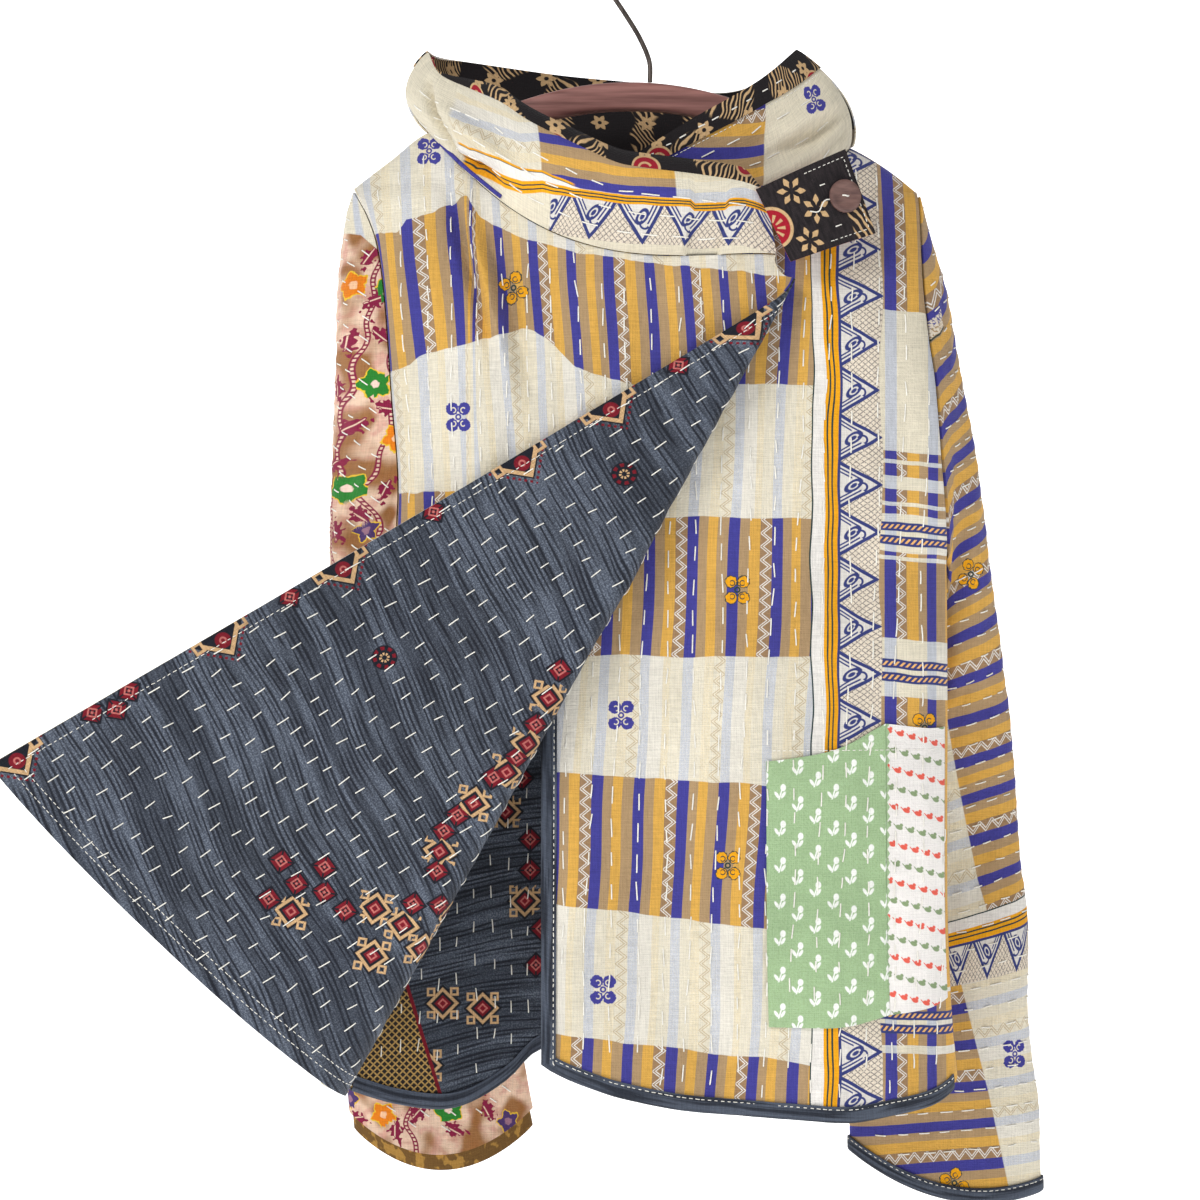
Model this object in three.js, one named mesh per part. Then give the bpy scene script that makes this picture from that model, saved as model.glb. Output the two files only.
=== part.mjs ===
// A patched wrap jacket hanging on a wooden hanger, its front corner turned back.
// Millimetres, +Z up, the front faces -Y, and the origin is where the hook hangs.
import * as THREE from 'three';

// Cloth walls: a double layer has an outer cloth and a lining with a gap between.
const CLOTH = 1.2;
const QUILT = 2.0;
const GAP = 0.3;
const HALF_DOUBLE = CLOTH + GAP / 2;

// Side lines of the body, [height, x], from shoulder tip past the underarm to the hem.
const LEFT_SIDE = [
  [-182, -205], [-200, -195], [-222, -187], [-262, -181], [-331, -176], [-386, -172],
  [-430, -175], [-520, -188], [-620, -203], [-720, -216], [-806, -228],
];
const RIGHT_SIDE = [
  [-185, 187], [-246, 188], [-289, 192], [-316, 196], [-372, 201], [-412, 205], [-441, 207],
  [-539, 208], [-679, 208], [-756, 211], [-801, 215],
];
// The line over the shoulders, [x, height]; between the neck points it is only a guide.
const SHOULDER = [
  [-205, -182], [-180, -163], [-153, -143], [-100, -136], [0, -132],
  [100, -138], [141, -154], [165, -168], [187, -185],
];
const LEFT_NECK = -153;
const RIGHT_NECK = 141;
const LEFT_UNDERARM = -430;
const RIGHT_UNDERARM = -441;
const FRONT_DEPTH = 56;
const BACK_DEPTH = 50;
const SHOULDER_ROUND = 170;
const SECTION_POWER = 2.6;
const ARMHOLE_WIDTH = 34;
const RIPPLE = 5;

// Under front: free edge, hem and neckline.
const UNDER_EDGE = -72;
const UNDER_HEM = [
  [-72, -786], [-56, -794], [-38, -801], [-20, -807], [21, -816], [62, -820], [103, -823],
  [138, -825], [166, -821], [194, -816], [208, -809], [215, -801],
];
const UNDER_NECK = [[-72, -234], [0, -231], [55, -220], [105, -195], [141, -154]];
const UNDER_COLUMNS = [0, 0.12, 0.24, 0.35, 0.45, 0.546, 0.64, 0.74, 0.839, 0.91, 0.955, 0.982, 1];
const UNDER_ROWS = [0, 0.05, 0.1, 0.18, 0.26, 0.33, 0.4, 0.49, 0.58, 0.67, 0.76, 0.84, 0.91, 0.96, 1];
const NECK_COLUMN = 8;

// Back: hem and neckline.
const BACK_HEM = [
  [-228, -806], [-200, -818], [-177, -825], [-146, -829], [-125, -824], [-99, -808], [-82, -791],
  [-60, -784], [0, -783], [80, -790], [160, -799], [215, -801],
];
const BACK_NECK = [
  [-153, -143], [-110, -155], [-50, -163], [0, -165], [50, -164], [100, -160], [141, -154],
];
const BACK_COLUMNS = [-205, -189, -171, -153, -120, -82, -44, -6, 32, 70, 108, 141, 158, 174, 187];
const BACK_ROWS = [0, 0.09, 0.18, 0.27, 0.36, 0.45, 0.54, 0.63, 0.71, 0.79, 0.86, 0.92, 0.96, 0.985, 1];

// Wrap front: a fan about its top corner; beyond FOLD the cloth rolls over to the front.
const CORNER = [99.4, -235.8];
const FREE_EDGE = -2.5;
const FOLD = 29.8;
const FREE_LENGTH = 639;
const SEAM_LENGTH = 657.5;
const HEM_DIP = 14;
const INNER_RADIUS = 14;
const OVERLAP = 9;
const ROLL = 6;
const ROLL_GROWTH = 0.016;
const FLARE = 50;
const FLAP_FRONT = 45;
const COLLAR_SAG = 42;
const ROLL_STEPS = [0, 0.7, 1.4, 2.1, 2.8, 3.5, 4.3, 5.5, 7.5];
const FLAP_COLUMNS = 6;
const SEAM_HEIGHTS = [-745, -680, -615, -550, -490, -430, -385, -340, -295, -255, -215, -182];
const WRAP_SHOULDER = [-192, -178, -165, -153];
const WRAP_ROWS = 12;

// Collar: top edges as points, bulge outward in the middle of the band.
const COLLAR_ROWS = 5;
const LAP_TOP = [
  [78, -72, -190], [61, -75, -185], [34, -77, -181], [-6, -77, -176], [-24, -75, -172], [-47, -70, -161],
  [-81, -60, -143], [-102, -50, -128], [-123, -36, -117], [-145, -18, -104], [-154, -0.3, -86],
];
const BACK_TOP = [
  [-154, 0.3, -86], [-147, 25, -86], [-126, 44, -86], [-62, 58, -93], [-5, 62, -98],
  [52, 56, -106], [84, 40, -99], [98, 18, -90], [103, 0.3, -85],
];
const UNDER_TOP = [
  [103, -0.3, -85], [85, -18, -102], [63, -32, -118], [28, -44, -139], [-6, -51, -161], [-40, -52, -184],
  [-72, -51, -207],
];
const LAP_BULGE = 9;
const SIDE_BULGE = 15;

// Tab on the collar's end, corners in order round it, and its button.
const TAB = [[71.6, -75.8, -190.6], [132.8, -67.8, -162], [153.8, -63.8, -219], [95.4, -73.8, -239.5]];
const BUTTON_RADIUS = 11.5;
const BUTTON_THICK = 3.2;

// Sleeves: outer line point, inner line point and half thickness, from armhole to cuff.
const SLEEVE_RINGS = 15;
const SLEEVE_SIDES = 18;
const LEFT_SLEEVE = [
  [-207.5, 0, -184, -177, 0, -430, ARMHOLE_WIDTH],
  [-213, 2, -213, -186, 12, -440, 33],
  [-216, 6, -258, -191, 26, -456, 32],
  [-220, 14, -328, -189, 50, -492, 30],
  [-224.5, 34, -419, -178, 78, -548, 28],
  [-227, 60, -530, -158, 100, -625, 25],
  [-226, 84, -660, -124, 110, -712, 22],
  [-221, 98, -770, -96, 108, -785, 20],
  [-216, 102, -842, -84, 106, -840, 18],
];
const RIGHT_SLEEVE = [
  [189, 0, -187, 209, 0, -441, ARMHOLE_WIDTH],
  [201, 2, -234, 212, 12, -450, 33],
  [212, 6, -276, 211, 28, -466, 32],
  [227, 14, -349, 205, 54, -502, 31],
  [241, 30, -441, 194, 80, -556, 30],
  [256, 56, -534, 176, 102, -632, 27],
  [268, 78, -635, 160, 110, -730, 24],
  [278, 88, -774, 150, 106, -815, 20],
  [286, 92, -896, 149, 100, -868, 18],
];
const LEFT_DROOP = 30;
const RIGHT_DROOP = 18;

// Bindings: width on each face, wall and how far they pass the edge.
const BINDING_WIDTH = 9;
const BINDING_WALL = 1.0;
const BINDING_PAST = 1.8;

// Hanger.
const BAR_MIDDLE = -13;
const BAR_TOP = -106.8;
const BAR_BEND = 0.0022;
const BAR_HALF = 168;
const BAR_HEIGHT = 20;
const BAR_THICK = 14;
const HOOK_RADIUS = 30;
const WIRE = 1.7;

const rad = THREE.MathUtils.degToRad;
const clamp = THREE.MathUtils.clamp;
const lerp = THREE.MathUtils.lerp;
const smooth = THREE.MathUtils.smoothstep;

// A smooth function through [x, value] points, level beyond its ends.
function through(points) {
  const p = [...points].sort((a, b) => a[0] - b[0]);
  const slope = p.map((q, i) => {
    const a = p[Math.max(i - 1, 0)];
    const b = p[Math.min(i + 1, p.length - 1)];
    return (b[1] - a[1]) / (b[0] - a[0]);
  });
  return (x) => {
    if (x <= p[0][0]) return p[0][1];
    if (x >= p[p.length - 1][0]) return p[p.length - 1][1];
    const i = p.findIndex((q) => q[0] > x) - 1;
    const h = p[i + 1][0] - p[i][0];
    const t = (x - p[i][0]) / h;
    const a = (1 + 2 * t) * (1 - t) ** 2 * p[i][1];
    const b = t * (1 - t) ** 2 * h * slope[i];
    const c = t * t * (3 - 2 * t) * p[i + 1][1];
    const d = t * t * (t - 1) * h * slope[i + 1];
    return a + b + c + d;
  };
}

// A smooth curve in space through points, 0 to 1 by point number.
function curve(points) {
  const columns = points[0].map((_, k) => through(points.map((p, i) => [i, p[k]])));
  return (t) => columns.map((f) => f(t * (points.length - 1)));
}

const leftSide = through(LEFT_SIDE);
const rightSide = through(RIGHT_SIDE);
const shoulder = through(SHOULDER);
const underHem = through(UNDER_HEM);
const underNeck = through(UNDER_NECK);
const backHem = through(BACK_HEM);
const backNeck = through(BACK_NECK);

// Half the width of the armhole opening at a height.
function armhole(z, tip, underarm) {
  const t = clamp((tip - z) / (tip - underarm), 0, 1);
  return ARMHOLE_WIDTH * 2 * Math.sqrt(t * (1 - t));
}

// How far the body's cloth stands from the hanger's plane.
function fullness(x, z, depth) {
  const left = leftSide(z);
  const right = rightSide(z);
  const middle = (left + right) / 2;
  const t = Math.min(Math.abs((x - middle) / ((right - left) / 2)), 1);
  const drop = clamp((shoulder(x) - z) / SHOULDER_ROUND, 0, 1);
  const top = depth * Math.sqrt(1 - (1 - drop) ** 2);
  const tip = x < middle ? -182 : -185;
  const hole = armhole(z, tip, x < middle ? LEFT_UNDERARM : RIGHT_UNDERARM);
  const fold = RIPPLE * Math.sin(x / 34 + z / 260) * smooth(-z, 300, 800) * (1 - t ** 4);
  return hole + (top + fold - Math.min(hole, top)) * (1 - t ** SECTION_POWER) ** (1 / SECTION_POWER);
}

function frontPoint(x, z) {
  return new THREE.Vector3(x, -fullness(x, z, FRONT_DEPTH), z);
}

// Surface normals of a grid of points; the grid may close on itself along its rows.
function normals(grid, side, loop) {
  const n = grid.length;
  return grid.map((row, i) => row.map((p, j) => {
    const before = loop ? grid[(i + n - 1) % n][j] : grid[Math.max(i - 1, 0)][j];
    const after = loop ? grid[(i + 1) % n][j] : grid[Math.min(i + 1, n - 1)][j];
    const along = after.clone().sub(before);
    const across = row[Math.min(j + 1, row.length - 1)].clone().sub(row[Math.max(j - 1, 0)]);
    return along.cross(across).normalize().multiplyScalar(side);
  }));
}

function shifted(grid, dirs, by, limit) {
  return grid.map((row, i) => row.map((p, j) => {
    const q = p.clone().addScaledVector(dirs[i][j], by);
    return limit ? limit(q) : q;
  }));
}

// A closed wall of cloth about a grid: `mid` moves it out, `thick` is the wall.
function wall(grid, { mid = 0, thick = CLOTH, side = 1, loop = false, limit = null } = {}) {
  const dirs = normals(grid, side, loop);
  const faces = [shifted(grid, dirs, mid - thick / 2, limit), shifted(grid, dirs, mid + thick / 2, limit)];
  const rows = grid.length;
  const cols = grid[0].length;
  const points = faces.flat(2);
  const at = (f, i, j) => f * rows * cols + (i % rows) * cols + j;
  const index = [];
  const quad = (a, b, c, d) => index.push(a, b, c, a, c, d);
  const last = loop ? rows : rows - 1;
  for (let i = 0; i < last; i += 1) {
    for (let j = 0; j < cols - 1; j += 1) {
      quad(at(1, i, j), at(1, i + 1, j), at(1, i + 1, j + 1), at(1, i, j + 1));
      quad(at(0, i, j), at(0, i, j + 1), at(0, i + 1, j + 1), at(0, i + 1, j));
    }
    quad(at(0, i, 0), at(0, i + 1, 0), at(1, i + 1, 0), at(1, i, 0));
    quad(at(1, i, cols - 1), at(1, i + 1, cols - 1), at(0, i + 1, cols - 1), at(0, i, cols - 1));
  }
  if (!loop) {
    for (let j = 0; j < cols - 1; j += 1) {
      quad(at(1, 0, j), at(1, 0, j + 1), at(0, 0, j + 1), at(0, 0, j));
      quad(at(0, rows - 1, j), at(0, rows - 1, j + 1), at(1, rows - 1, j + 1), at(1, rows - 1, j));
    }
  }
  return solid(points, index);
}

// Whole numbers from a to b.
function range(a, b) {
  return Array.from({ length: b - a + 1 }, (_, i) => a + i);
}

// A closed solid through rings of points, with flat ends.
function loft(rings) {
  const sides = rings[0].length;
  const points = rings.flat();
  const index = [];
  for (let i = 0; i < rings.length - 1; i += 1) {
    for (let k = 0; k < sides; k += 1) {
      const a = i * sides + k;
      const b = i * sides + ((k + 1) % sides);
      index.push(a, b, b + sides, a, b + sides, a + sides);
    }
  }
  const end = (rings.length - 1) * sides;
  for (let k = 1; k < sides - 1; k += 1) {
    index.push(0, k + 1, k);
    index.push(end, end + k, end + k + 1);
  }
  return solid(points, index);
}

// A mesh whose faces look outward.
function solid(points, index) {
  let volume = 0;
  for (let i = 0; i < index.length; i += 3) {
    const [a, b, c] = [points[index[i]], points[index[i + 1]], points[index[i + 2]]];
    volume += a.dot(b.clone().cross(c));
  }
  if (volume < 0) index.reverse();
  const geometry = new THREE.BufferGeometry();
  const numbers = points.flatMap((p) => p.toArray());
  geometry.setAttribute('position', new THREE.Float32BufferAttribute(numbers, 3));
  geometry.setIndex(index);
  geometry.computeVertexNormals();
  return geometry;
}

// A patch between four edges given as functions to [x, z].
function patch(columns, rows, { bottom, top, left, right }) {
  const [p00, p10, p01, p11] = [bottom(0), bottom(1), top(0), top(1)];
  return columns.map((u) => rows.map((v) => [0, 1].map((k) => {
    const across = lerp(bottom(u)[k], top(u)[k], v) + lerp(left(v)[k], right(v)[k], u);
    return across - lerp(lerp(p00[k], p10[k], u), lerp(p01[k], p11[k], u), v);
  })));
}

const frontLimit = (p) => p.setY(Math.min(p.y, -GAP / 2));
const backLimit = (p) => p.setY(Math.max(p.y, GAP / 2));

function underGrid() {
  const neckAt = UNDER_COLUMNS[NECK_COLUMN];
  const topX = (u) => (u < neckAt ? lerp(UNDER_EDGE, RIGHT_NECK, u / neckAt)
    : lerp(RIGHT_NECK, 187, (u - neckAt) / (1 - neckAt)));
  const flat = patch(UNDER_COLUMNS, UNDER_ROWS, {
    bottom: (u) => [lerp(UNDER_EDGE, 215, u), underHem(lerp(UNDER_EDGE, 215, u))],
    top: (u) => [topX(u), u < neckAt ? underNeck(topX(u)) : shoulder(topX(u))],
    left: (v) => [UNDER_EDGE, lerp(underHem(UNDER_EDGE), underNeck(UNDER_EDGE), v)],
    right: (v) => [rightSide(lerp(-801, -185, v)), lerp(-801, -185, v)],
  });
  return flat.map((row) => row.map(([x, z]) => frontLimit(frontPoint(x, z))));
}

function backGrid() {
  const [first, last] = [BACK_COLUMNS[0], BACK_COLUMNS[BACK_COLUMNS.length - 1]];
  const columns = BACK_COLUMNS.map((x) => (x - first) / (last - first));
  const topX = (u) => lerp(first, last, u);
  const inNeck = (x) => x > LEFT_NECK && x < RIGHT_NECK;
  const flat = patch(columns, BACK_ROWS, {
    bottom: (u) => [lerp(-228, 215, u), backHem(lerp(-228, 215, u))],
    top: (u) => [topX(u), inNeck(topX(u)) ? backNeck(topX(u)) : shoulder(topX(u))],
    left: (v) => [leftSide(lerp(-806, -182, v)), lerp(-806, -182, v)],
    right: (v) => [rightSide(lerp(-801, -185, v)), lerp(-801, -185, v)],
  });
  return flat.map((row) => row.map(([x, z]) => (
    backLimit(new THREE.Vector3(x, fullness(x, z, BACK_DEPTH), z)))));
}

// Where the fan's lines end, unfolded: along the hem, up the side, over the shoulder.
function wrapOutline() {
  const hem = (deg) => {
    const t = (deg - FREE_EDGE) / (FOLD - FREE_EDGE);
    const r = lerp(FREE_LENGTH, SEAM_LENGTH, t) - HEM_DIP * Math.sin(Math.PI * t);
    return [CORNER[0] - r * Math.sin(rad(deg)), CORNER[1] - r * Math.cos(rad(deg))];
  };
  const rollEnd = FOLD - ROLL_STEPS[ROLL_STEPS.length - 1];
  const flap = range(0, FLAP_COLUMNS - 1).map((i) => hem(lerp(FREE_EDGE, rollEnd, i / FLAP_COLUMNS)));
  const roll = [...ROLL_STEPS].reverse().map((step) => hem(FOLD - step));
  const seam = SEAM_HEIGHTS.map((z) => [leftSide(z), z]);
  const over = WRAP_SHOULDER.map((x) => [x, shoulder(x)]);
  return [...flap, ...roll, ...seam, ...over];
}

// A point of the wrap front on the body, in front of the under front.
function wrapBody(x, z) {
  const p = frontPoint(x, z);
  p.y -= OVERLAP * smooth(x, -190, -110) * smooth(shoulder(x) - z, 0, 60);
  return frontLimit(p);
}

// A point on the fan, rolled over where it lies past the fold.
function wrapPoint([endX, endZ], share) {
  const [dx, dz] = [endX - CORNER[0], endZ - CORNER[1]];
  const length = Math.hypot(dx, dz);
  const angle = Math.atan2(-dx, -dz);
  const v = lerp(INNER_RADIUS / length, 1, share);
  const r = v * length;
  const past = r * (rad(FOLD) - angle);
  if (past <= 1e-6) {
    const w = v ** 1.4;
    const sag = COLLAR_SAG * clamp((angle - rad(70)) / rad(38.8), 0, 1.1) ** 1.2;
    return wrapBody(CORNER[0] + dx * v, CORNER[1] + dz * v - sag * 4 * w * (1 - w));
  }
  const radius = ROLL + ROLL_GROWTH * r;
  const turn = Math.min(past / radius, Math.PI);
  const beyond = Math.max(past - Math.PI * radius, 0);
  const shift = beyond - radius * Math.sin(turn);
  const lift = radius * (1 - Math.cos(turn));
  const start = wrapBody(CORNER[0] - r * Math.sin(rad(FOLD)), CORNER[1] - r * Math.cos(rad(FOLD)));
  const swing = rad(FOLD) + shift / r;
  const pull = (FLAP_FRONT + start.y) * smooth(past, 0, 160) + FLARE * (beyond / 325) ** 2;
  return new THREE.Vector3(
    CORNER[0] - r * Math.sin(swing),
    start.y - lift - pull,
    CORNER[1] - r * Math.cos(swing),
  );
}

function wrapGrid() {
  const shares = Array.from({ length: WRAP_ROWS + 1 }, (_, j) => 1 - (1 - j / WRAP_ROWS) ** 1.25);
  return wrapOutline().map((end) => shares.map((share) => wrapPoint(end, share)));
}

// A band between a seam edge and a top edge, bulging outward between them.
function band(seam, topCurve, bulge) {
  return seam.map((bottom, i) => {
    const t = i / (seam.length - 1);
    const top = new THREE.Vector3(...topCurve(t));
    const out = bulge(t);
    return Array.from({ length: COLLAR_ROWS + 1 }, (_, j) => {
      const v = j / COLLAR_ROWS;
      return bottom.clone().lerp(top, v).addScaledVector(out, Math.sin(Math.PI * v) ** 0.8);
    });
  });
}

// The seam edge of a collar piece: the panel's own edge points moved out.
function seamEdge(grid, columns, rows, side, out, lift) {
  const dirs = normals(grid, side, false);
  return columns.flatMap((i) => rows.map((j) => {
    const p = grid[i][j].clone().addScaledVector(dirs[i][j], out);
    return p.setZ(p.z + lift);
  }));
}

// Bulge of the lap: forward along most of it, sideways where it turns at the neck.
function lapBulge(t) {
  const turn = smooth(t, 0.72, 1);
  const forward = LAP_BULGE * (1 - turn) * smooth(t, 0, 0.2);
  return new THREE.Vector3(0.2 * forward - SIDE_BULGE * turn, -forward, 0);
}

// Bulge of the under-lap: a fold over the right shoulder that fades under the lap.
function underBulge(t) {
  const turn = SIDE_BULGE * smooth(1 - t, 0.72, 1);
  return new THREE.Vector3(turn, -0.3 * turn, 0);
}

// Bulge of the back: out all round.
function standBulge(t) {
  const a = Math.PI * t;
  return new THREE.Vector3(-Math.cos(a) * SIDE_BULGE, Math.sin(a) * 8, 0);
}

// A pocket part: the panel's own points moved out, open along its top.
function pocket(grid, dirs, first, last, inset) {
  const part = range(first, last).map((i) => range(2, 6).map((j) => {
    const p = grid[i][j].clone();
    if (i === first && inset) p.lerp(grid[i + 1][j], inset / p.distanceTo(grid[i + 1][j]));
    return p.addScaledVector(dirs[i][j], QUILT / 2 + GAP + CLOTH / 2 + 0.2);
  }));
  return wall(part);
}

// The last rings of a sleeve, carried a little past the cuff.
function cuffFacing(grid) {
  return grid.map((row) => {
    const last = row[SLEEVE_RINGS];
    const past = last.clone().sub(row[SLEEVE_RINGS - 1]).setLength(12).add(last);
    return [...row.slice(SLEEVE_RINGS - 2), past];
  });
}

// One sleeve as rings between its outer and inner lines, drooping at the cuff.
function sleeveGrid(lines, droop) {
  const line = curve(lines);
  const rings = range(0, SLEEVE_RINGS).map((i) => line(i / SLEEVE_RINGS));
  const grid = rings.map((q, i) => {
    const outer = new THREE.Vector3(q[0], q[1], q[2]);
    const inner = new THREE.Vector3(q[3], q[4], q[5]);
    const middle = outer.clone().lerp(inner, 0.5);
    const long = outer.sub(middle);
    const wide = new THREE.Vector3(0, 1, 0).projectOnPlane(long.clone().normalize()).setLength(q[6]);
    return range(0, SLEEVE_SIDES - 1).map((k) => {
      const a = (2 * Math.PI * k) / SLEEVE_SIDES;
      const p = middle.clone().addScaledVector(long, Math.cos(a)).addScaledVector(wide, Math.sin(a));
      return p.setZ(p.z - droop * Math.sin(a) ** 2 * smooth(i, SLEEVE_RINGS - 5, SLEEVE_RINGS));
    });
  });
  return grid[0].map((_, k) => grid.map((ring) => ring[k]));
}

// Armhole edge of a sleeve follows the body's side line.
function fitArmhole(grid, sideLine, side) {
  grid.forEach((row) => row[0].setX(sideLine(row[0].z) + side * (HALF_DOUBLE + GAP + 0.4)));
  return grid;
}

// A strip folded over an edge: `edge` holds points, the way into the cloth and the normal.
function binding(edge, halfCloth, loop) {
  const h = halfCloth + GAP + BINDING_WALL / 2;
  const profile = [[BINDING_WIDTH, h], [0, h], [-BINDING_PAST, h / 2], [-BINDING_PAST, -h / 2], [0, -h],
    [BINDING_WIDTH, -h]];
  const grid = edge.map(({ p, into, normal }) => profile.map(([d, n]) => (
    p.clone().addScaledVector(into, d).addScaledVector(normal, n))));
  return wall(grid, { thick: BINDING_WALL, loop });
}

function edgeOf(grid, dirs, cells) {
  return cells.map(([i, j, di, dj]) => {
    const into = grid[i + di][j + dj].clone().sub(grid[i][j]).normalize();
    return { p: grid[i][j], into, normal: dirs[i][j] };
  });
}

function barRing(t) {
  const x = lerp(-BAR_HALF, BAR_HALF, t);
  const z = BAR_TOP - BAR_BEND * x * x - BAR_HEIGHT / 2;
  const taper = 1 - 0.35 * Math.abs(x / BAR_HALF) ** 3;
  return Array.from({ length: 12 }, (_, k) => {
    const a = (2 * Math.PI * k) / 12;
    const c = Math.sign(Math.cos(a)) * Math.abs(Math.cos(a)) ** 0.7;
    const s = Math.sign(Math.sin(a)) * Math.abs(Math.sin(a)) ** 0.7;
    return new THREE.Vector3(BAR_MIDDLE + x, (BAR_THICK / 2) * taper * c, z + (BAR_HEIGHT / 2) * taper * s);
  });
}

function hookRings() {
  const rise = [[1, BAR_TOP + 0.2], [0.5, -92], [-6, -76], [-15, -61], [-25, -46]];
  const arc = Array.from({ length: 15 }, (_, i) => {
    const a = rad(lerp(205, -35, i / 14));
    return [HOOK_RADIUS * Math.cos(a), HOOK_RADIUS * Math.sin(a) - HOOK_RADIUS + WIRE];
  });
  const path = [...rise, ...arc].map(([x, z]) => new THREE.Vector3(x, 0, z));
  return path.map((p, i) => {
    const ahead = path[Math.min(i + 1, path.length - 1)].clone().sub(path[Math.max(i - 1, 0)]).normalize();
    const side = new THREE.Vector3(0, 1, 0);
    const up = ahead.clone().cross(side);
    return Array.from({ length: 10 }, (_, k) => {
      const a = (2 * Math.PI * k) / 10;
      return p.clone().addScaledVector(side, WIRE * Math.cos(a)).addScaledVector(up, WIRE * Math.sin(a));
    });
  });
}

function tabPoint(u, v) {
  const corners = TAB.map((c) => new THREE.Vector3(...c));
  const low = corners[3].clone().lerp(corners[2], u);
  return low.lerp(corners[0].clone().lerp(corners[1], u), v);
}

function tabGrid() {
  const steps = [0, 0.2, 0.4, 0.6, 0.8, 1];
  return steps.map((u) => steps.map((v) => {
    const p = tabPoint(u, v);
    return p.setY(p.y - 3 * Math.sin(Math.PI * u) + 2 * u * u);
  }));
}

function buttonGeometry(grid) {
  const disc = new THREE.Shape().absarc(0, 0, BUTTON_RADIUS - 0.8, 0, 2 * Math.PI);
  for (const x of [-2.2, 2.2]) {
    disc.holes.push(new THREE.Path().absarc(x, 0, 1.0, 0, 2 * Math.PI, true));
  }
  const shape = new THREE.ExtrudeGeometry(disc, {
    depth: BUTTON_THICK - 1.6, bevelSize: 0.8, bevelThickness: 0.8, bevelSegments: 2, curveSegments: 10,
  });
  const outward = normals(grid, 1, false)[4][2];
  const turn = new THREE.Quaternion().setFromUnitVectors(new THREE.Vector3(0, 0, 1), outward);
  const at = grid[4][2].clone().lerp(grid[4][3], 0.5).addScaledVector(outward, 0.9 + CLOTH / 2 + GAP);
  return shape.applyQuaternion(turn).translate(at.x, at.y, at.z);
}

const jacket = new THREE.Group();
jacket.name = 'patched_wrap_jacket';

function add(name, geometry, colour, roughness = 0.9, metalness = 0) {
  const material = new THREE.MeshStandardMaterial({ color: colour, roughness, metalness });
  const mesh = new THREE.Mesh(geometry, material);
  mesh.name = name;
  jacket.add(mesh);
}

const CREAM = '#d9c9a0';
const SLATE = '#4b5869';
const BLACK = '#241f21';
const FLORAL = '#cfa48c';
const STRIPED = '#a58f6a';

// Back and its lining
const back = backGrid();
const backDirs = normals(back, -1, false);
add('back', wall(back, { mid: GAP / 2 + CLOTH / 2, side: -1, limit: backLimit }), CREAM);
add('back_lining', wall(back, { mid: -GAP / 2 - CLOTH / 2, side: -1, limit: backLimit }), SLATE);
const backEdge = edgeOf(back, backDirs, range(1, back.length - 2).map((i) => [i, 0, 0, 1]));
add('back_hem_binding', binding(backEdge, HALF_DOUBLE, false), SLATE);

// Under front, bound along its free edge and hem, with a two-part pocket
const under = underGrid();
const underDirs = normals(under, 1, false);
add('under_front', wall(under, { thick: QUILT, limit: frontLimit }), CREAM);
const down = range(0, under[0].length - 3).reverse();
const freeEdge = down.filter((j) => j > 0).map((j) => [0, j, 1, 0]);
const hemEdge = range(1, under.length - 2).map((i) => [i, 0, 0, 1]);
const underEdge = edgeOf(under, underDirs, [...freeEdge, [0, 0, 1, 1], ...hemEdge]);
add('under_front_binding', binding(underEdge, QUILT / 2, false), SLATE);
add('pocket_green', pocket(under, underDirs, 5, 8, 0), '#8caf6e');
add('pocket_white', pocket(under, underDirs, 8, 11, GAP), '#e8e2da');

// Wrap front and its lining, with the corner turned back
const wrap = wrapGrid();
add('wrap_front', wall(wrap, { mid: GAP / 2 + CLOTH / 2, limit: frontLimit }), CREAM);
add('wrap_front_lining', wall(wrap, { mid: -GAP / 2 - CLOTH / 2, limit: frontLimit }), SLATE);

// Sleeves, the left with a facing that shows below its cuff, the right bound
const leftSleeve = fitArmhole(sleeveGrid(LEFT_SLEEVE, LEFT_DROOP), leftSide, -1);
const rightSleeve = fitArmhole(sleeveGrid(RIGHT_SLEEVE, RIGHT_DROOP), rightSide, 1);
add('sleeve_left', wall(leftSleeve, { thick: QUILT, loop: true }), FLORAL);
add('sleeve_right', wall(rightSleeve, { thick: QUILT, side: -1, loop: true }), STRIPED);
const insideCuff = { mid: -GAP - QUILT / 2 - CLOTH / 2, loop: true };
add('sleeve_left_facing', wall(cuffFacing(leftSleeve), insideCuff), '#7a5a2c');
const cuffDirs = normals(rightSleeve, -1, true);
const cuffCells = range(0, SLEEVE_SIDES - 1).map((k) => [k, SLEEVE_RINGS, 0, -1]);
const cuffEdge = edgeOf(rightSleeve, cuffDirs, cuffCells);
add('sleeve_right_binding', binding(cuffEdge, QUILT / 2 + GAP, true), SLATE);

// Collar: lap, back and under-lap, each with a facing of black print inside
const onDouble = HALF_DOUBLE + GAP + CLOTH;
const lapSeam = seamEdge(wrap, [wrap.length - 1], range(0, WRAP_ROWS), 1, onDouble, 0.6);
const lap = band(lapSeam, curve(LAP_TOP), lapBulge);
const neckColumns = range(BACK_COLUMNS.indexOf(LEFT_NECK), BACK_COLUMNS.indexOf(RIGHT_NECK));
const backSeam = seamEdge(back, neckColumns, [BACK_ROWS.length - 1], -1, onDouble, 0.8);
const stand = band(backSeam, curve(BACK_TOP), standBulge);
const underColumns = range(0, NECK_COLUMN).reverse();
const onQuilt = QUILT / 2 + GAP + CLOTH + 0.3;
const underSeam = seamEdge(under, underColumns, [UNDER_ROWS.length - 1], -1, onQuilt, 1.2);
const underLap = band(underSeam, curve(UNDER_TOP), underBulge);
const collar = [
  ['lap', lap, frontLimit],
  ['back', stand, backLimit],
  ['under', underLap, frontLimit],
];
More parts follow.
